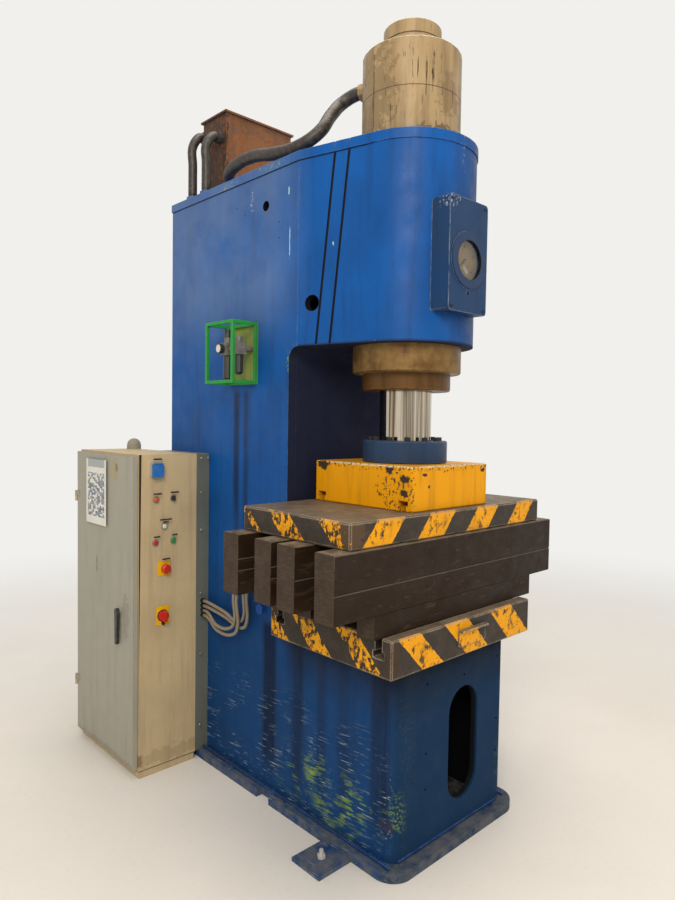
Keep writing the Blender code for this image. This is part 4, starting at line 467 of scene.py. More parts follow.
def enamel(name, colour, deep, under, rough=0.42, wear=0.004, peel=0.0006, dirt="#2a2722", grime=0.35,
           shine=0.2, marks=(), flecks=()):
    """Air-dried enamel on steel: brushed, uneven in tone, rubbed through at the edges and grimy in runs; on
    some finishes the edge colour is a painted highlight.

    marks are ragged patches, flecks are patches broken into chips, each as (place, reach, most), colour."""
    material, shader, place = new_finish(name, {"Specular IOR Level": shine})
    torn = torn_noise(place, 0.03)
    chips = blotches(place, 0.010, 0.54, 0.60, detail=6.0)
    coats = [
        (blotches(place, 0.30, 0.30, 0.72, most=0.55), deep),
        (blotches(place, 0.04, 0.50, 0.80, (1, 1, 0.08), grime), dirt),
        (blotches(place, 0.012, 0.62, 0.74, most=0.5), deep),
    ]
    coats += [(spot(place, torn, *where), tone) for where, tone in marks]
    coats += [(all_of(spot(place, torn, *where), chips), tone) for where, tone in flecks]
    coats.append((worn_edges(place, wear, 0.03), under))
    paint(shader, colour, coats)
    dull(shader, blotches(place, 0.08, 0.3, 0.7), rough - 0.08, rough + 0.14)
    fine = add(shader.id_data, "TexNoise", {"Vector": place, "Scale": 1 / 0.004, "Detail": 2.0}).outputs[0]
    relief(shader, fine, peel, 0.0025)
    return material, shader, place


def plastic(name, code, rough=0.38, size=0.0015, dust=DUST):
    """Injection-moulded plastic: fine grain, a little dust in its low gloss."""
    material, shader, place = new_finish(name)
    paint(shader, code, [(blotches(place, 0.02, 0.45, 0.8, most=0.25), dust)])
    dull(shader, blotches(place, 0.01, 0.3, 0.7), rough - 0.06, rough + 0.10)
    fine = add(shader.id_data, "TexNoise", {"Vector": place, "Scale": 1 / size, "Detail": 1.0}).outputs[0]
    relief(shader, fine, 0.0001, 0.0008)
    return material


def machined_steel(name, code, stain, rough=0.35, along=(1, 1, 1), size=0.002, edge=0.001):
    """Bare turned or milled steel under a film of oil: fine tool marks and brown stains."""
    material, shader, place = new_finish(name, {"Metallic": 1.0})
    marks = blotches(place, size, 0.3, 0.7, along, detail=2.0)
    paint(shader, code, [(blotches(place, 0.07, 0.45, 0.7, most=0.7), stain),
                         (all_of(marks, blotches(place, 0.1, 0.3, 0.7)), stain)])
    dull(shader, marks, rough - 0.06, rough + 0.12)
    relief(shader, marks, 0.00005, edge)
    return material


class PRESS_OT_stage(bpy.types.Operator):
    """Floor, backdrop, lamps and the camera at the photograph's place"""
    bl_idname = "press.stage"
    bl_label = "Stage"

    def execute(self, context):
        studio, scene = context.scene.press_studio, context.scene
        scene.view_settings.view_transform = "Standard"
        alone()
        bpy.ops.mesh.primitive_plane_add(size=60, location=(0, 0, -0.0005))
        floor = context.object
        floor.name = "studio_floor"
        material, shader, place = new_finish("smooth_concrete_floor", {"Roughness": 0.55})
        paint(shader, studio.floor_colour, [(blotches(place, 1.2, 0.3, 0.7, most=0.35), "#cfcdc7"),
                                            (blotches(place, 0.02, 0.55, 0.8, most=0.2), "#bdbab3")])
        # far from the press the floor turns into the backdrop, so no horizon shows
        tree = shader.id_data
        away = add(tree, "VectorMath", {0: place}, operation="LENGTH").outputs["Value"]
        far = add(tree, "Emission", {"Color": studio.wall_colour, "Strength": 1.0})
        reach = {"Value": away, "From Min": 1.6, "From Max": 6.5}
        fade = add(tree, "MapRange", reach, interpolation_type="SMOOTHSTEP")
        sweep = add(tree, "MixShader", {0: fade.outputs[0], 1: shader.outputs[0], 2: far.outputs[0]})
        tree.links.new(sweep.outputs[0], tree.nodes["Material Output"].inputs["Surface"])
        floor.data.materials.append(material)
        self.light(context, studio)
        self.aim_camera(context, studio)
        return {"FINISHED"}

    def light(self, context, studio):
        """Add the backdrop and the three lamps."""
        world = bpy.data.worlds.new("studio_light")
        context.scene.world = world
        world.use_nodes = True
        tree = world.node_tree
        lit = tree.nodes["Background"]
        lit.inputs["Strength"].default_value = 0.56
        lit.inputs["Color"].default_value = srgb("#f8f1e6")
        seen = add(tree, "Background", {"Color": studio.wall_colour, "Strength": 1.0})
        rays = add(tree, "LightPath").outputs
        direct = any_of(rays["Is Camera Ray"], rays["Is Glossy Ray"], rays["Is Transmission Ray"])
        both = add(tree, "MixShader", {0: direct, 1: lit.outputs[0], 2: seen.outputs[0]})
        tree.links.new(both.outputs[0], tree.nodes["World Output"].inputs[0])
        # name, place, size in metres and power in watts
        lamps = (("key", (-4.2, -3.4, 4.6), 2.6, studio.key_power), ("front", (1.8, -4.8, 3.4), 2.4, 25),
                 ("top", (0.2, 0.2, 6.0), 3.0, 150))
        for name, where, size, power in lamps:
            bpy.ops.object.light_add(type="AREA", location=where)
            lamp = context.object
            lamp.name = name + "_lamp"
            lamp.data.energy = power
            lamp.data.size = size
            lamp.data.color = srgb("#fff3e4")[:3]
            lamp.rotation_euler = (Vector(LAMP_TARGET) - Vector(where)).to_track_quat("-Z", "Y").to_euler()

    def aim_camera(self, context, studio):
        """Place the camera as solved from the photograph."""
        yaw, pitch, roll = (math.radians(a) for a in CAMERA_TURN)
        ahead = Vector((-math.sin(yaw) * math.cos(pitch), math.cos(yaw) * math.cos(pitch), math.sin(pitch)))
        level = Vector((math.cos(yaw), math.sin(yaw), 0))
        upright = level.cross(ahead)
        right = math.cos(roll) * level + math.sin(roll) * upright
        up = -math.sin(roll) * level + math.cos(roll) * upright
        bpy.ops.object.camera_add()
        camera = context.object
        turn = Matrix((right, up, -ahead)).transposed().to_4x4()
        camera.matrix_world = Matrix.Translation(CAMERA_PLACE) @ turn
        camera.data.sensor_fit = "HORIZONTAL"
        camera.data.lens = studio.focal_length
        context.scene.camera = camera


class PRESS_OT_smooth_rounds(bpy.types.Operator):
    """Smoothly shaded copies of the turned, bent and domed parts"""
    bl_idname = "press.smooth_rounds"
    bl_label = "Smooth rounds"

    def execute(self, context):
        weld = 0.00002
        for name in SMOOTHED:
            twin = NODES[name].copy()
            twin.data = NODES[name].data.copy()
            twin.parent = None
            context.scene.collection.objects.link(twin)
            alone(twin)
            bpy.ops.mesh.customdata_custom_splitnormals_clear()
            bpy.ops.object.mode_set(mode="EDIT")
            bpy.ops.mesh.select_all(action="SELECT")
            bpy.ops.mesh.remove_doubles(threshold=weld)
            bpy.ops.object.mode_set(mode="OBJECT")
            if name in ("side_plate_left", "side_plate_right", "front_plate", "base_plate"):
                self.round_corners(twin, name, context.scene.press_sizes)
            LOOKS[name] = settle(twin, name + "_smooth", None, BODY_OF[name], 30)
            alone(LOOKS[name])
            even = LOOKS[name].modifiers.new("even_shading", "WEIGHTED_NORMAL")
            even.keep_sharp = True
            bpy.ops.object.modifier_apply(modifier=even.name)
            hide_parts(name)
        return {"FINISHED"}

    def round_corners(self, plate, name, sizes):
        """Round the front corners that the CAD leaves square."""
        base = name == "base_plate"
        radius = sizes.base_corner if base else sizes.body_corner
        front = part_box("base_plate" if base else "front_plate")[0][1]
        half = BASE_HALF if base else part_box("side_plate_right")[1][0]
        low, high = (-0.01, 0.05) if base else (0.02, TABLE_TOP + 0.01)
        beyond = 0.01
        for side in (-1, 1):
            if name.startswith("side") and (side > 0) != name.endswith("right"):
                continue
            centre = Vector((side * (half - radius), front + radius, (low + high) / 2))
            block = slab((min(centre.x, side * (half + beyond)), front - beyond, low),
                         (max(centre.x, side * (half + beyond)), centre.y, high))
            bpy.ops.mesh.primitive_cylinder_add(
                vertices=96, radius=radius, depth=high - low + 2 * beyond, location=centre)
            core = bpy.context.object
            for target, tool in ((block, core), (plate, block)):
                alone(target)
                cut = target.modifiers.new("corner", "BOOLEAN")
                cut.operation, cut.object = "DIFFERENCE", tool
                bpy.ops.object.modifier_apply(modifier=cut.name)
                bpy.data.objects.remove(tool)


def seam(place, foot, lean, low, high, half):
    """Mask of a leaning line on the left side: foot is its Y at the low end."""
    tree = place.id_data
    x, y, z = axes_of(place)
    slope = lean / (high - low)
    start = add(tree, "Math", {0: z, 1: -slope, 2: slope * low}, operation="MULTIPLY_ADD").outputs[0]
    across = add(tree, "Math", {0: y, 1: start}, operation="ADD").outputs[0]
    return all_of(near(across, foot, half), between(z, low, low + 0.002), between(z, high + 0.002, high),
                  between(x, -0.20, -0.21))


class PRESS_OT_frame_enamel(bpy.types.Operator):
    """Blue enamel of the welded frame, with its chips, darker bands and scuffs, painted shade and painted
    highlights
    """
    bl_idname = "press.frame_enamel"
    bl_label = "Frame enamel"

    def execute(self, context):
        paints = context.scene.press_colours
        green, rust, pale, drip = paints.old_coat, "#6b4230", "#8fa0ae", "#9cc9cf"
        marks = [
            (((SIDE, -0.24, 0.165), (0.05, 0.034, 0.026), 0.7), rust),      # rusty corner of the foot
            (((-0.325, -0.075, 1.845), (0.06, 0.070, 0.006)), green),       # lower edge of the nose
            (((SIDE, 0.330, 2.449), (0.05, 0.004, 0.014)), drip),           # drips of paint on the head
            (((SIDE, 0.322, 2.262), (0.05, 0.003, 0.060)), drip),
            (((SIDE, 0.115, 2.215), (0.05, 0.004, 0.012)), drip),
        ]
        flecks = [
            (((SIDE, 0.320, 1.800), (0.05, 0.014, 0.055)), green),
            (((SIDE, 0.10, 1.847), (0.02, 0.22, 0.008)), green),
            (((SIDE, 0.57, 2.455), (0.05, 0.012, 0.045)), pale),            # scratches on the head
            (((-0.27, FRONT, 0.46), (0.04, 0.03, 0.20)), "#7f9a8c"),        # specks on the front plate
            (((SIDE, 0.44, 2.568), (0.05, 0.080, 0.016)), green),           # chipped rim of the cap plate
            (((SIDE, 0.73, 2.562), (0.05, 0.085, 0.013)), green),
            (((0.0, FRONT, 2.51), (0.007, 0.03, 0.075)), "#a9bcc9"),        # pale streaks beside the gauge, painted highlight
        ]
        # the edge colour #5f7fae is a painted highlight: the frame's edges are lighter blue where light
        # catches them
        material, shader, place = enamel(
            "alkyd_enamel_frame_blue", paints.frame_blue, paints.frame_deep, "#5f7fae",
            dirt="#0e2142", grime=0.40, marks=marks, flecks=flecks)
        tree = shader.id_data
        x, y, z = axes_of(place)
        wall = add(tree, "Math", {0: x}, operation="ABSOLUTE").outputs[0]
        # painted shade: the front faces are darker, and the lower body darker towards the bottom, partly dirt
        low = all_of(any_of(between(z, 1.3, 0.5, 0.62), between(y, -0.19, -0.26, 0.93)), between(z, 1.3, 1.2))
        # painted shade: the inner walls of the throat are near black
        inside = all_of(between(z, TABLE_TOP + 0.003, TABLE_TOP + 0.008),
                        between(z, HEAD_LOW + 0.01, HEAD_LOW), between(y, 0.36, 0.35),
                        between(wall, HALF - 0.0005, HALF - 0.001, 0.88))
        shown = between(x, 0.31, 0.30)        # the far side stays plain
        # the two round holes of the head: place and radius
        bores = [disc(place, at, radius, (0, 1, 1)) for at, radius in (((0, 0.477, 2.419), 0.022),
                                                                       ((0, 0.205, 2.00), 0.031))]
        # painted shade: the walls of the two holes are near black
        holes = all_of(between(x, SIDE + 0.0003, SIDE + 0.0008), any_of(*bores))
        # the nose is darker on the side turned from the aisle: painted shade, with some dirt
        nose_dirt_and_shade = all_of(between(x, -0.06, 0.16), between(y, 0.10, 0.0),
                             between(z, HEAD_LOW, HEAD_LOW + 0.02, 0.72))
        # the head is paler towards its rear: dust, with painted sheen
        dust_and_sheen = all_of(between(y, 0.20, 0.45), between(z, 1.80, 2.10),
                      blotches(place, 0.25, 0.1, 0.6, most=0.30))
        # darker vertical bands below the table and below the air unit, and painted shade under the bolster
        uneven = blotches(place, 0.10, 0.15, 0.50, (1, 1, 0.15))
        columns = ((0.42, 0.030, 0.025, 0.90), (0.24, 0.022, 0.025, 0.7), (0.10, 0.012, 0.025, 0.5),
                   (-0.02, 0.015, 0.025, 0.5), (-0.20, 0.030, 0.025, 0.9))
        runs = all_of(shown, any_of(*[band(y, *column) for column in columns]), uneven,
                      between(z, 0.74, 0.70), between(z, 0.04, 0.20))
        below_unit = all_of(any_of(band(y, 0.67, 0.010, 0.02, 0.8), band(y, 0.60, 0.006, 0.02, 0.6)),
                            uneven, shown, between(z, 1.70, 1.66), between(z, 0.75, 1.20))
        shadow = all_of(between(z, 0.50, 0.70, 0.85), between(z, 0.74, 0.73), between(y, 0.34, 0.28))
        # scuffs and scratches run level along the foot
        slant = add(tree, "Mapping", {"Vector": place, "Rotation": (math.radians(4), 0, 0)}).outputs[0]
        foot = all_of(band(z, 0.16, 0.05, 0.10), blotches(place, 0.14, 0.44, 0.60),
                      between(y, 0.40, 0.20), between(wall, 0.26, 0.32))
        scuffs = all_of(shown, foot, blotches(slant, 0.011, 0.50, 0.56, (1, 0.16, 1), detail=6.0))
        scratches = all_of(shown, between(wall, 0.315, 0.33), between(z, 0.50, 0.25, 0.8),
                           blotches(place, 0.16, 0.44, 0.58),
                           blotches(slant, 0.0045, 0.61, 0.64, (1, 0.045, 1), detail=3.0))
        lug = all_of(between(z, 0.0143, 0.0145), between(wall, BASE_HALF + 0.0005, BASE_HALF + 0.001))
        dusty = all_of(between(z, 0.0365, 0.0355), blotches(place, 0.05, 0.30, 0.60, most=0.7))
        fitting = all_of(between(x, SIDE - 0.0004, SIDE - 0.0006), between(z, 0.5, 0.51),
                         between(z, 0.93, 0.92))
        ends = HEAD_LOW + 0.003, HEAD_TOP - 0.003
        seams = any_of(*[seam(place, at, -0.072, *ends, 0.0055) for at in (0.185, 0.125)])
        # dark line below the cap plate: a weld joint, with painted shadow under the proud cap
        lip_joint_and_shadow = all_of(between(z, HEAD_TOP - 0.006, HEAD_TOP - 0.003),
                     between(z, HEAD_TOP + 0.0005, HEAD_TOP), between(x, -0.25, -0.26, 0.8))
        # nothing lights the hollow of the body, seen through the front slot
        hollow = all_of(between(y, FRONT + 0.008, FRONT + 0.012), between(y, 1.15, 1.14),
                        between(wall, 0.299, 0.297), between(z, 0.70, 0.69))
        dark = any_of(inside, holes, hollow, runs, low)
        gloss = {0: shader.inputs["Roughness"].links[0].from_socket, 1: between(dark, 0.0, 1.0, 0.45)}
        tree.links.new(add(tree, "Math", gloss, operation="ADD").outputs[0], shader.inputs["Roughness"])
        recoat(shader, (low, "#0d2c48"), (nose_dirt_and_shade, "#1b2a40"), (any_of(runs, below_unit), "#0a1c37"),
               (shadow, "#10161f"), (dust_and_sheen, "#8296b3"), (scuffs, green), (scratches, "#b4c4c4"),
               (inside, "#1c130f"), (any_of(holes, hollow), "#070a10"), (dusty, "#66686b"), (lug, "#b9bab8"),
               (any_of(seams, lip_joint_and_shadow), "#081428"), (fitting, "#1c1d20"),
               (all_of(fitting, near(z, 0.770, 0.024)), "#1f4f9c"))
        paint_nodes(material, "side_plate_left", "side_plate_right", "front_plate", "table_plate",
                    "rear_plate", "throat_plate", "head_floor", "nose_shell", "cap_plate", "base_plate")
        return {"FINISHED"}


class PRESS_OT_welds(bpy.types.Operator):
    """Fillet welds where the frame's walls stand on the base plate"""
    bl_idname = "press.welds"
    bl_label = "Welds"

    def execute(self, context):
        paints, leg = context.scene.press_colours, context.scene.press_sizes.weld_leg
        left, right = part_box("side_plate_left")[0][0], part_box("side_plate_right")[1][0]
        rear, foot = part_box("side_plate_right")[1][1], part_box("base_plate")[1][2]
        corner = 0.05
        runs = [((left, FRONT, foot), (left, rear, foot)), ((right, FRONT, foot), (right, rear, foot)),
                ((left, rear, foot), (right, rear, foot)),
                ((left + corner, FRONT, foot), (right - corner, FRONT, foot))]
        # the lighter blue edge colour is a painted highlight, as on the frame
        material, shader, place = enamel("weld_bead_under_enamel", paints.frame_deep, "#0c2347",
                                         "#5f7fae", dirt="#0e2142")
        ripple = add(shader.id_data, "TexWave", {"Vector": place, "Scale": 60.0, "Distortion": 1.5},
                     bands_direction="DIAGONAL")
        relief(shader, ripple.outputs["Fac"], 0.0012)
        reach = leg * 0.8
        beads = [slab([min(a, b) - reach for a, b in zip(*run)], [max(a, b) + reach for a, b in zip(*run)],
                      leg * 0.75) for run in runs]
        settle(joined(beads), "base_weld_beads", material)
        return {"FINISHED"}


class PRESS_OT_cylinder_finish(bpy.types.Operator):
    """Cream barrel, oiled bronze gland and nut, chromed rod and the ram's flange"""
    bl_idname = "press.cylinder_finish"
    bl_label = "Cylinder finish"

    def execute(self, context):
        paints = context.scene.press_colours
        # the patches at X -0.189 and -0.17 darken the barrel's left side
        marks = [(((-0.04, -0.18, 2.605), (0.09, 0.06, 0.032), 0.7), "#4b3a28"),
                 (((-0.007, -0.19, 2.745), (0.05, 0.04, 0.08), 0.5), "#6f563a"),
                 (((-0.189, 0.021, 2.76), (0.02, 0.0035, 0.24), 0.85), "#4a3a28"),
                 (((0.11, -0.13, 2.70), (0.06, 0.08, 0.13), 0.5), "#5d4d38"),
                 (((-0.17, 0.02, 2.75), (0.04, 0.09, 0.30), 0.45), "#5b4c38")]
        barrel, shader, place = enamel(
            "oil_stained_cylinder_lacquer", paints.cylinder_cream, "#8b7452", "#6b5c45",
            rough=0.38, dirt="#5d4a2e", grime=0.6, shine=0.22, marks=marks)
        z = axes_of(place)[2]
        lines = all_of(blotches(place, 0.008, 0.62, 0.65, (1, 1, 0.05)), blotches(place, 0.10, 0.44, 0.56))
        rings = any_of(near(z, 2.763, 0.0015), near(z, 2.9385, 0.0025))
        recoat(shader, (blotches(place, 0.045, 0.48, 0.72, (1, 1, 0.10), 0.7), "#6f5c42"),
               (lines, "#33291e"), (rings, "#4a3c2a"))
        paint_nodes(barrel, "cylinder_barrel", "cylinder_head")

        gland, shader, place = enamel("oiled_bronze_gland", paints.gland_brown, "#5b4224", "#a5854c",
                                      rough=0.36, dirt="#2b1f10", grime=0.8)
        shader.inputs["Metallic"].default_value = 0.25
        nut = between(axes_of(place)[2], 1.7374, 1.7378, 0.55)
        recoat(shader, (all_of(nut, blotches(place, 0.06, 0.30, 0.60)), "#977a49"))
        paint_nodes(gland, "cylinder_nut", "rod_gland")

        chrome, shader, place = new_finish("hard_chrome_ground", {"Metallic": 1.0})
        # dark vertical streaks: painted reflection in the chrome, where it is also rougher
        reflection_streaks = blotches(place, 0.016, 0.44, 0.60, (1, 1, 0.01), detail=3.0)
        paint(shader, "#cfc3b0", [(reflection_streaks, "#5d4f3f"),
                                  (blotches(place, 0.05, 0.5, 0.75, (1, 1, 0.1), 0.6), "#8a6c45")])
        dull(shader, reflection_streaks, 0.10, 0.22)
        relief(shader, blotches(place, 0.004, 0.3, 0.7, (1, 1, 0.03)), 0.00004)
        paint_nodes(chrome, "piston_rod")

        flange, shader, place = enamel("oily_blue_flange_enamel", "#2a4468", "#1d2c42", "#76808a",
                                       dirt="#15181d", grime=0.6)
        recoat(shader, (between(axes_of(place)[2], 1.4808, 1.4812), "#2a2c30"))
        paint_nodes(flange, "rod_flange")
        paint_nodes(machined_steel("turned_piston_steel", "#8d8e90", "#5d564d", along=(1, 1, 12)), "piston")
        paint_nodes(machined_steel("turned_bronze_bush", "#b08a4a", "#6b4e25", along=(1, 1, 12)), "rod_bush")
        paint_nodes(plastic("nitrile_rod_seal", "#1b1b1c", rough=0.6), "rod_seal")
        return {"FINISHED"}


def striped_plate(name, paints, front, left, top, wear_marks=()):
    """Black plate with hand-painted yellow stripes on its front and sides, and a rubbed bare top.

    front and left are (slope, height of the measuring line, list of (start, end) along X or Y)."""
    material, shader, place = new_finish(name, {"Specular IOR Level": 0.2})
    tree = shader.id_data
    across, ahead, up = facing_of(shader)
    x, y, z = axes_of(place)
    swing = {"Value": blotches(place, 0.03, 0.2, 0.8), "To Min": -0.005, "To Max": 0.005}
    wobble = add(tree, "MapRange", swing).outputs[0]
    faces = []
    for along, (slope, line, bands), turned in ((x, front, ahead), (y, left, across)):
        drop = add(tree, "Math", {0: z, 1: -line}, operation="ADD").outputs[0]
        slid = add(tree, "Math", {0: drop, 1: -slope, 2: along}, operation="MULTIPLY_ADD").outputs[0]
        slid = add(tree, "Math", {0: slid, 1: wobble}, operation="ADD").outputs[0]
        inside = any_of(*[near(slid, (a + b) / 2, (b - a) / 2) for a, b in bands])
        square = add(tree, "Math", {0: turned}, operation="ABSOLUTE").outputs[0]
        faces.append(all_of(inside, between(square, 0.6, 0.7)))
    yellow = any_of(*faces)
    torn = torn_noise(place, 0.02)
    lifted = between(add(tree, "Math", {0: up}, operation="ABSOLUTE").outputs[0], 0.6, 0.9)
    # the left ends are knocked far more than the fronts
    knocked = all_of(faces[1], blotches(place, 0.022, 0.50, 0.54, (1, 1, 0.7), detail=6.0))
    coats = [
        (blotches(place, 0.05, 0.45, 0.75, most=0.8), "#4b3f33"),
        (all_of(yellow, blotches(place, 0.030, 0.64, 0.53, detail=6.0)), paints.platen_yellow),
        (all_of(yellow, blotches(place, 0.10, 0.5, 0.75, most=0.6)), "#c98a12"),
        (knocked, "#3a2f25"), (blotches(place, 0.012, 0.62, 0.68), "#4a3a2c"),
        (blotches(place, 0.06, 0.55, 0.8, (1, 1, 0.3), 0.5), "#2a241d"),
    ]
    coats += [(spot(place, torn, *where), tone) for where, tone in wear_marks]
    coats += [(lifted, "#736858"), (all_of(lifted, blotches(place, 0.08, 0.4, 0.7, most=0.8)), "#4f4338"),
              (all_of(lifted, blotches(place, 0.02, 0.55, 0.7, most=0.6)), "#6b4c36"),
              (worn_edges(place, top, 0.05, 0.3, 0.5), "#b5a994")]
    paint(shader, paints.stripe_black, coats)
    dull(shader, blotches(place, 0.03, 0.3, 0.7), 0.40, 0.62)
    relief(shader, blotches(place, 0.008, 0.3, 0.7), 0.0006, 0.003)
    return material


class PRESS_OT_tooling_finish(bpy.types.Operator):
    """Yellow platen, striped plates and the rolled bars between them"""
    bl_idname = "press.tooling_finish"
    bl_label = "Tooling finish"

    def execute(self, context):
        paints = context.scene.press_colours
        dark, worn = "#3b3128", "#dcc79a"
        left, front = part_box("ram_platen")[0][:2]
        marks = [(((left, -0.127, 1.385), (0.03, 0.022, 0.018)), dark),
                 (((left, -0.20, 1.352), (0.03, 0.022, 0.016)), dark),
                 (((left, -0.20, 1.30), (0.03, 0.018, 0.014)), dark),
                 (((-0.156, front, 1.366), (0.014, 0.02, 0.008)), dark),
                 (((-0.132, front, 1.322), (0.007, 0.02, 0.007)), dark),
                 (((0.199, front, 1.370), (0.016, 0.02, 0.008)), dark),
                 (((0.0, front, 1.394), (0.26, 0.03, 0.004)), worn),
                 (((left, 0.0, 1.394), (0.03, 0.28, 0.005)), worn),
                 (((left, 0.23, 1.38), (0.03, 0.03, 0.02)), dark)]
        # chips scattered round the near corner and along the upper edges
        flecks = [(((left, -0.15, 1.31), (0.03, 0.08, 0.10)), dark),
                  (((left, front, 1.31), (0.014, 0.014, 0.11)), dark),
                  (((-0.02, front, 1.388), (0.26, 0.03, 0.014)), dark),
                  (((left, 0.0, 1.388), (0.03, 0.27, 0.014)), dark)]
        yellow = enamel(
            "signal_yellow_platen_enamel", paints.platen_yellow, "#d18e0c", "#4a3d2e",
            dirt="#7a5a1c", grime=0.55, shine=0.12, marks=marks, flecks=flecks)
        paint_nodes(yellow[0], "ram_platen")
        upper = striped_plate(
            "striped_upper_plate_paint", paints,
            (0.85, 1.1449, ((-0.508, -0.371), (-0.236, -0.093), (0.045, 0.184), (0.321, 0.442))),
            (1.0, 1.2349, ((0.275, 0.312), (0.036, 0.155), (-0.220, -0.110))), 0.006,
            [(((-0.54, -0.268, 1.20), (0.05, 0.06, 0.07)), "#54412f")])
        paint_nodes(upper, "upper_plate")
        lower = striped_plate(
            "striped_bolster_paint", paints,
            (-1.0, 0.8443, ((-0.385, -0.272), (-0.137, -0.002), (0.135, 0.279))),
            (1.0, 0.8443, ((0.325, 0.410), (0.090, 0.200), (-0.155, -0.043))), 0.007,
            [(((-0.40, -0.321, 0.79), (0.03, 0.04, 0.08)), "#3f3025")])
        paint_nodes(lower, "bolster", "bolster_bracket")

        # hot-rolled bars: blue-black mill scale gone brown, saw marks on the ends, pale rubbed tops
        bars, shader, place = new_finish("hot_rolled_bar_steel",
                                         {"Metallic": 0.1, "Specular IOR Level": 0.15})
        across, _, up = facing_of(shader)
        ends = between(add(shader.id_data, "Math", {0: across}, operation="ABSOLUTE").outputs[0], 0.6, 0.8)
        tops = between(up, 0.6, 0.8)
        saw = blotches(place, 0.004, 0.35, 0.65, (0.2, 0.15, 1), detail=2.0)
        rubbed = all_of(worn_edges(place, 0.003, 0.04, 0.40, 0.65), between(axes_of(place)[2], 1.02, 1.13))
        paint(shader, paints.bar_steel, [
            (blotches(place, 0.09, 0.40, 0.65, (0.25, 1, 1), 0.7), "#2f2721"),
            (blotches(place, 0.02, 0.58, 0.72, (0.3, 1, 1), 0.3), "#6b5138"),
            (ends, "#4b3d31"),
            (all_of(ends, saw), "#3b3027"),
            (all_of(ends, blotches(place, 0.05, 0.4, 0.7, most=0.7)), "#3a2f27"),
            (tops, "#7b7163"),
            (all_of(tops, blotches(place, 0.05, 0.4, 0.6)), "#574a3e"),
            (rubbed, "#85745c")])
        dull(shader, blotches(place, 0.05, 0.3, 0.7), 0.40, 0.65)
        relief(shader, blotches(place, 0.006, 0.3, 0.7), 0.0004, 0.002)
        paint_nodes(bars, "bars_front", "bars_middle", "bars_inner", "bars_rear")
        return {"FINISHED"}


class PRESS_OT_tank_finish(bpy.types.Operator):
    """Rusty oil tank with its lid screws"""
    bl_idname = "press.tank_finish"
    bl_label = "Tank finish"

    def execute(self, context):
        paints = context.scene.press_colours
        material, shader, place = enamel(
            "rusty_tank_primer", paints.tank_brown, "#4b3a2f", "#8a6a4e", rough=0.6, dirt="#2c221b",
            grime=0.8, marks=[(((-0.195, 0.985, 2.80), (0.02, 0.02, 0.25)), "#2b2420"),
                              (((0.0, 0.972, 2.80), (0.18, 0.02, 0.18), 0.6), "#8a5a35")])
        x, y, _ = axes_of(place)
        # painted shade: the first coat makes the tank's left face darker than its front
        recoat(shader, (between(x, -0.1945, -0.1949, 0.85), "#3f332d"),
               (blotches(place, 0.02, 0.50, 0.66, (1, 1, 0.7)), "#7c4a2a"),
               (any_of(between(x, -0.2055, -0.206), between(y, 0.9615, 0.961)), "#3b3a38"))
        paint_nodes(material, "oil_tank")
        (left, front, _), (right, rear, top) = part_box("oil_tank")
        # the fittings stand out beyond the lid on the left and in front
        beyond, inset = 0.020, 0.012
        spots = [(x, y, top) for x in (left + beyond + inset, 0.0, right - inset)
                 for y in (front + beyond + inset, rear - inset)]
        screws("tank_lid_screws", machined_steel("zinc_plated_lid_screws", "#8b8a86", "#6b4e36"),
               context.scene.press_sizes.screw_radius, spots, (0, 0, 1))
        return {"FINISHED"}


class PRESS_OT_hoses(bpy.types.Operator):
    """Corrugated suction hose, tank hoses and conduits of the cables"""
    bl_idname = "press.hoses"
    bl_label = "Hoses"

    def execute(self, context):
        pitch, fine_pitch = context.scene.press_sizes.hose_pitch, context.scene.press_sizes.cable_pitch
        rubber = plastic("vulcanised_hose_rubber", "#29231e", rough=0.45, size=0.004, dust="#8a8074")
        ribbed_hose("suction_hose", SUCTION_HOSE, radius=0.026, rib=0.0040, pitch=pitch, steps=20,
                    material=rubber)
        foot, length = TANK_HOSE[0][2], TANK_HOSE[-1][2] - TANK_HOSE[0][2]
        for node, y, lift in (("tank_hose_front", 1.0112, 0.0), ("tank_hose_rear", 1.1288, 0.028)):
            route = [(TANK_HOSE_X + x, y, foot + (z - foot) * (1 + lift / length)) for x, _, z in TANK_HOSE]
            ribbed_hose(node, route, radius=0.021, rib=0.0032, pitch=pitch, steps=18, material=rubber)
        conduit = plastic("pale_corrugated_conduit", "#877d6d", rough=0.5, dust="#463d31")
        for number, cable in enumerate(CABLES, 1):
            ribbed_hose("panel_cable_%d" % number, cable_route(*cable), radius=0.0075, rib=0.0010,
                        pitch=fine_pitch, steps=12, material=conduit)
        return {"FINISHED"}


class PRESS_OT_air_unit_finish(bpy.types.Operator):
    """Guard, back plate and the filter with its regulator"""
    bl_idname = "press.air_unit_finish"
    bl_label = "Air unit finish"

    def execute(self, context):
        paints = context.scene.press_colours
        paint_nodes(enamel("guard_green_enamel", paints.guard_green, "#14702c", "#7a8a72")[0], "guard_cage")
        paint_nodes(enamel("old_olive_coat", "#8a9a4a", "#5f6d38", "#6b5a3c", grime=0.6)[0], "guard_back")
        paint_nodes(plastic("black_acetal", "#1d1d1e"), "regulator_knob")
        # zinc blocks, dark bowls below them and a pale gauge face on the regulator
        material, shader, place = new_finish("die_cast_zinc_housing", {"Roughness": 0.42})
        x, _, z = axes_of(place)
        front = between(x, -0.4300, -0.4302)
        away = away_from(place, (0, 0.64, 1.846), (0, 1, 1))
        paint(shader, "#77756f", [
            (blotches(place, 0.02, 0.4, 0.7, most=0.8), "#4a4842"),
            (between(z, 1.8200, 1.8195), "#2b2d2c"), (front, "#2a2a2b"),
            (all_of(front, between(away, 0.0165, 0.0160)), "#cfcdc4")])
        relief(shader, blotches(place, 0.003, 0.3, 0.7), 0.0001, 0.001)
        paint_nodes(material, "air_unit")
        return {"FINISHED"}


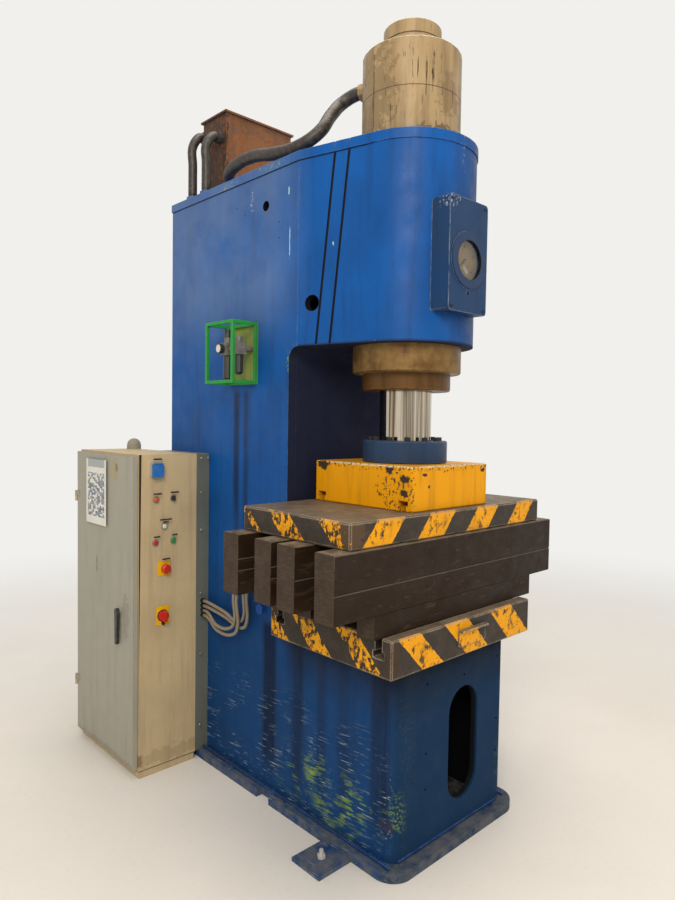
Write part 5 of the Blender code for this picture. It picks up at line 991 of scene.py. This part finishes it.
class PRESS_OT_cabinet_finish(bpy.types.Operator):
    """Powder coat of the cabinet, its door and duct, and the plastics of its devices"""
    bl_idname = "press.cabinet_finish"
    bl_label = "Cabinet finish"

    def execute(self, context):
        paints = context.scene.press_colours
        shell, shader, place = enamel(
            "textured_powder_coat_beige", paints.panel_beige, "#a89674", "#7c6d58", rough=0.5,
            wear=0.003, peel=0.0004, dirt="#7d6b4e", grime=0.35,
            marks=[(((-0.55, PANEL, 0.07), (0.30, 0.05, 0.03), 0.25), "#6e5d47"),
                   (((-0.675, PANEL, 0.07), (0.012, 0.05, 0.03), 0.6), "#7a4f30")])
        x, y, z = axes_of(place)
        # plates of the stop button and the main switch, dark at the rim and yellow in front
        ahead = between(y, PANEL - 0.0004, PANEL - 0.0006)
        plates = all_of(ahead, near(x, -0.563, 0.034),
                        any_of(near(z, 0.900, 0.033), near(z, 0.694, 0.043)))
        inside = all_of(between(y, PANEL + 0.0038, PANEL + 0.0042), between(y, 0.946, 0.945),
                        near(x, -0.56, 0.08), near(z, 0.94, 0.31))
        # painted shadow line on the shell along the door's edge, wider towards the top, as if the door stood
        # a little off
        tree = shader.id_data
        widen = add(tree, "Math", {0: z, 1: -0.010, 2: 0.003}, operation="MULTIPLY_ADD").outputs[0]
        shadow_line_across = add(tree, "Math", {0: x, 1: widen}, operation="ADD").outputs[0]
        door_gap_shadow = all_of(between(y, PANEL + 0.0006, PANEL + 0.0004), between(shadow_line_across, -0.6770, -0.6775))
        plinth = all_of(band(z, 0.032, 0.0015, 0.0005), between(z, 0.20, 0.10))
        recoat(shader, (plinth, "#4a4640"), (between(z, 1.3975, 1.398), "#8f8b80"), (ahead, "#8e8b84"),
               (plates, "#2b2a28"),
               (all_of(plates, between(y, PANEL - 0.0029, PANEL - 0.0025)), "#e9b308"),
               (inside, "#2d2d2f"), (door_gap_shadow, "#2b251d"))
        paint_nodes(shell, "cabinet_shell")

        door_marks = [(((-0.6985, 1.075, 1.325), (0.02, 0.040, 0.045), 0.6), "#a3966a"),
                      (((-0.6985, 1.05, 1.335), (0.02, 0.012, 0.020), 0.8), "#7d6a45"),
                      (((-0.6985, 1.25, 0.88), (0.02, 0.005, 0.045), 0.8), "#4b4840"),
                      (((-0.6985, 0.96, 0.70), (0.02, 0.03, 0.10), 0.3), "#6f6c62"),
                      (((-0.6985, 1.18, 0.05), (0.02, 0.30, 0.015), 0.4), "#7b6a52")]
        door = enamel("powder_coat_door_grey", paints.door_grey, "#97978b", "#6d675c", rough=0.48,
                      wear=0.003, peel=0.0003, dirt="#7d7a6e", grime=0.35, marks=door_marks)
        paint_nodes(door[0], "cabinet_door")
        paint_nodes(enamel("galvanised_mounting_plate", "#9ea3a6", "#858a8c", "#b5b9bb", rough=0.35,
                           dirt="#6c6e6e", grime=0.2)[0], "mounting_plate")
        duct, shader, place = enamel("folded_duct_enamel", paints.duct_grey, "#555b56", "#8a8d85",
                                     rough=0.5, dirt="#3d403c", grime=0.4)
        _, y, z = axes_of(place)
        glands = all_of(between(y, PANEL - 0.0004, PANEL - 0.0006), between(z, 0.80, 0.79))
        recoat(shader, (glands, "#1d1e20"))
        paint_nodes(duct, "cable_duct")
        for name, code, dust, nodes in (
                ("device_grey_abs", "#55585a", DUST,
                 ("switchgear_low", "switchgear_middle", "switchgear_high")),
                ("black_polyamide", "#1f1f20", DUST, ("selector_knob", "door_handle")),
                ("white_button_abs", "#d9d6cb", DUST, ("button_white",)),
                ("red_signal_abs", "#c02419", "#8a3a30", ("button_red", "main_switch", "estop_button")),
                ("green_button_abs", "#1f8a3c", "#4a7a55", ("button_green",)),
                ("grey_socket_polyamide", "#9a9c98", DUST, ("socket_base",)),
                ("blue_socket_polyamide", "#1668b4", DUST, ("socket_lid",))):
            paint_nodes(plastic(name, code, dust=dust), *nodes)
        paint_nodes(plastic("amber_lens", "#c9571a", rough=0.2), "lamp_lens")
        return {"FINISHED"}


class PRESS_OT_cabinet_fittings(bpy.types.Operator):
    """Blank strips over the devices, the sheet on the door and the duct's screws"""
    bl_idname = "press.cabinet_fittings"
    bl_label = "Cabinet fittings"

    def execute(self, context):
        sizes = context.scene.press_sizes
        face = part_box("cable_duct")[0][1]
        # middle of each strip in X and Z, and its width
        strips = ((-0.6005, 1.378, 0.040), (-0.6005, 1.229, 0.040), (-0.5185, 1.232, 0.040),
                  (-0.5605, 1.116, 0.056), (-0.5605, 1.106, 0.026), (-0.6025, 1.044, 0.030),
                  (-0.5175, 1.046, 0.026), (-0.5585, 0.944, 0.038))
        half, rim, front = 0.0035, 0.0004, face - sizes.label_thickness
        made = [slab((x - wide / 2, front, z - half), (x + wide / 2, face, z + half), rim)
                for x, z, wide in strips]
        settle(joined(made), "device_label_strips", plastic("engraving_laminate_black", "#201d1a"))

        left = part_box("cabinet_door")[0][0]
        sheet = slab((left - sizes.paper_thickness, 1.135, 1.065), (left, 1.345, 1.362), 0.0001, 1)
        material, shader, place = new_finish("laminated_paper_sheet", {"Roughness": 0.35})
        tree = shader.id_data
        _, y, z = axes_of(place)
        cell = add(tree, "VectorMath", {0: place, 1: (1.0, 0.015, 0.009)}, operation="SNAP").outputs[0]
        tone = add(tree, "TexWhiteNoise", {"Vector": cell}).outputs["Value"]
        column = all_of(between(y, 1.152, 1.153), between(y, 1.328, 1.327))
        page = all_of(between(z, 1.10, 1.101), between(z, 1.30, 1.299), column)
        head = all_of(between(z, 1.325, 1.326), column)
        coats = [(blotches(place, 0.05, 0.4, 0.8, most=0.4), "#b9b3a3"), (head, "#9aa3a4")]
        coats += [(all_of(page, between(tone, share, share + 0.01)), ink)
                  for share, ink in ((0.35, "#7f8c98"), (0.70, "#566273"), (0.90, "#9a7f5c"))]
        paint(shader, "#dcdad2", coats)
        settle(sheet, "door_paper_sheet", material, "door")

        spots = [(x, face, 1.378) for x in (-0.385, -0.350)]
        spots += [(-0.385, face, z) for z in (1.223, 1.054, 0.767, 0.488, 0.160)]
        zinc = machined_steel("zinc_plated_duct_screws", "#c9c7c0", "#8a7a62")
        screws("duct_screws", zinc, 0.005, spots, (0, -1, 0))
        return {"FINISHED"}


class PRESS_OT_gauge_finish(bpy.types.Operator):
    """Housing, ring, dial, pointer and glass of the gauge"""
    bl_idname = "press.gauge_finish"
    bl_label = "Gauge finish"

    def execute(self, context):
        paints, sizes = context.scene.press_colours, context.scene.press_sizes
        (left, _, low), (right, _, high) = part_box("gauge_housing")
        (dial_left, dial_face, dial_low), (dial_right, _, dial_high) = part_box("gauge_dial")
        centre = Vector(((dial_left + dial_right) / 2, dial_face, (dial_low + dial_high) / 2))
        radius = (dial_right - dial_left) / 2
        box_face, ring_radius = -0.300, 0.1005

        # the pale edge colour is rubbed bare steel with painted highlight
        material, shader, place = enamel(
            "gauge_housing_enamel", paints.gauge_box_blue, paints.frame_deep, "#93a0ad", wear=0.006,
            dirt="#0e1a30", grime=0.4, flecks=[(((left, box_face, high), (0.06, 0.05, 0.05)), "#8e9aa5")])
        away = away_from(place, centre, (1, 0, 1))
        ring = all_of(between(away, ring_radius + 0.0005, ring_radius),
                      between(axes_of(place)[1], box_face - 0.0002, box_face - 0.0004))
        recoat(shader, (ring, "#23395c"), (between(away, 0.0700, 0.0695), "#17181b"))
        paint_nodes(material, "gauge_housing")
        inset = 0.016
        spots = [(x, box_face, z) for x in (left + inset, right - inset) for z in (low + inset, high - inset)]
        screws("gauge_housing_screws", machined_steel("blackened_housing_screws", "#4a4c50", "#2b2a28"),
               sizes.screw_radius, spots, (0, -1, 0))

        card, shader, place = new_finish("printed_dial_card", {"Roughness": 0.6})
        paint(shader, "#ad9157", [(blotches(place, 0.03, 0.4, 0.7, most=0.5), "#8a6f3a")])
        paint_nodes(card, "gauge_dial")
        black = plastic("black_pointer_enamel", "#18181a")
        paint_nodes(black, "gauge_pointer")
        printed = 0.0003
        settle(self.scale(centre, radius, printed), "gauge_scale", black)
        # small blank plate, set askew on the dial
        plate = slab((-0.016, -printed, -0.008), (0.016, 0, 0.008))
        askew = Matrix.Rotation(math.radians(40), 4, "Y")
        plate.matrix_world = Matrix.Translation(centre + Vector((0.006, 0, -0.030))) @ askew
        settle(plate, "gauge_dial_plate", plastic("pale_dial_plate", "#d6cfb6"))

        glass, shader, place = new_finish("float_glass", {"Transmission Weight": 1.0, "IOR": 1.45})
        dull(shader, blotches(place, 0.02, 0.4, 0.7), 0.02, 0.10)
        paint_nodes(glass, "gauge_glass")
        return {"FINISHED"}

    def scale(self, centre, radius, printed):
        """Ticks and figures of the scale, from lower left over the top to lower right."""
        steps, sweep, every = 40, 260.0, 10
        turns = [Matrix.Rotation(math.radians(sweep * step / steps - sweep / 2), 4, "Y")
                 for step in range(steps + 1)]
        short = [turn for step, turn in enumerate(turns) if step % every]
        marks = []
        for half, foot, chosen in ((0.0006, 0.80, turns[::every]), (0.0003, 0.86, short)):
            tick = slab((-half, -printed, radius * foot), (half, 0, radius * 0.93))
            marks.append(copies(tick, [Matrix.Translation(centre) @ turn for turn in chosen]))
        upright = Matrix.Rotation(math.pi / 2, 4, "X")
        for step in range(0, steps + 1, every):
            alone()
            bpy.ops.object.text_add()
            figure = bpy.context.object
            figure.data.body = str(step)
            figure.data.size = radius * 0.19
            figure.data.align_x, figure.data.align_y = "CENTER", "CENTER"
            bpy.ops.object.convert(target="MESH")
            figure = bpy.context.object
            spoke = turns[step] @ Vector((0, 0, radius * 0.66))
            figure.matrix_world = Matrix.Translation(centre + spoke + Vector((0, -printed, 0))) @ upright
            marks.append(figure)
        return joined(marks)


class PRESS_PT_sidebar(bpy.types.Panel):
    """Sidebar panel that lists the press's steps"""
    bl_label = "Hydraulic press"
    bl_idname = "PRESS_PT_sidebar"
    bl_space_type = "VIEW_3D"
    bl_region_type = "UI"
    bl_category = "Press"

    def draw(self, context):
        for kind in OPERATORS:
            self.layout.operator(kind.bl_idname)
        for name, kind in GROUPS:
            box = self.layout.box()
            for choice in kind.__annotations__:
                box.prop(getattr(context.scene, name), choice)


GROUPS = (("press_colours", PressColours), ("press_sizes", PressSizes), ("press_studio", PressStudio))
OPERATORS = (PRESS_OT_stage, PRESS_OT_smooth_rounds, PRESS_OT_frame_enamel, PRESS_OT_welds,
             PRESS_OT_cylinder_finish, PRESS_OT_tooling_finish, PRESS_OT_tank_finish, PRESS_OT_hoses,
             PRESS_OT_air_unit_finish, PRESS_OT_cabinet_finish, PRESS_OT_cabinet_fittings,
             PRESS_OT_gauge_finish)


def register():
    """Add the groups, operators and panel to Blender."""
    for name, kind in GROUPS:
        bpy.utils.register_class(kind)
        setattr(bpy.types.Scene, name, bpy.props.PointerProperty(type=kind))
    for kind in OPERATORS + (PRESS_PT_sidebar,):
        bpy.utils.register_class(kind)


def unregister():
    """Take them out again."""
    for kind in reversed(OPERATORS + (PRESS_PT_sidebar,)):
        bpy.utils.unregister_class(kind)
    for name, kind in reversed(GROUPS):
        delattr(bpy.types.Scene, name)
        bpy.utils.unregister_class(kind)


def main():
    """Register the add-on and run its operators in order."""
    register()
    for kind in OPERATORS:
        group, name = kind.bl_idname.split(".")
        if getattr(getattr(bpy.ops, group), name)() != {"FINISHED"}:
            raise RuntimeError("%s did not finish" % kind.bl_label)


if __name__ == "__main__":
    main()
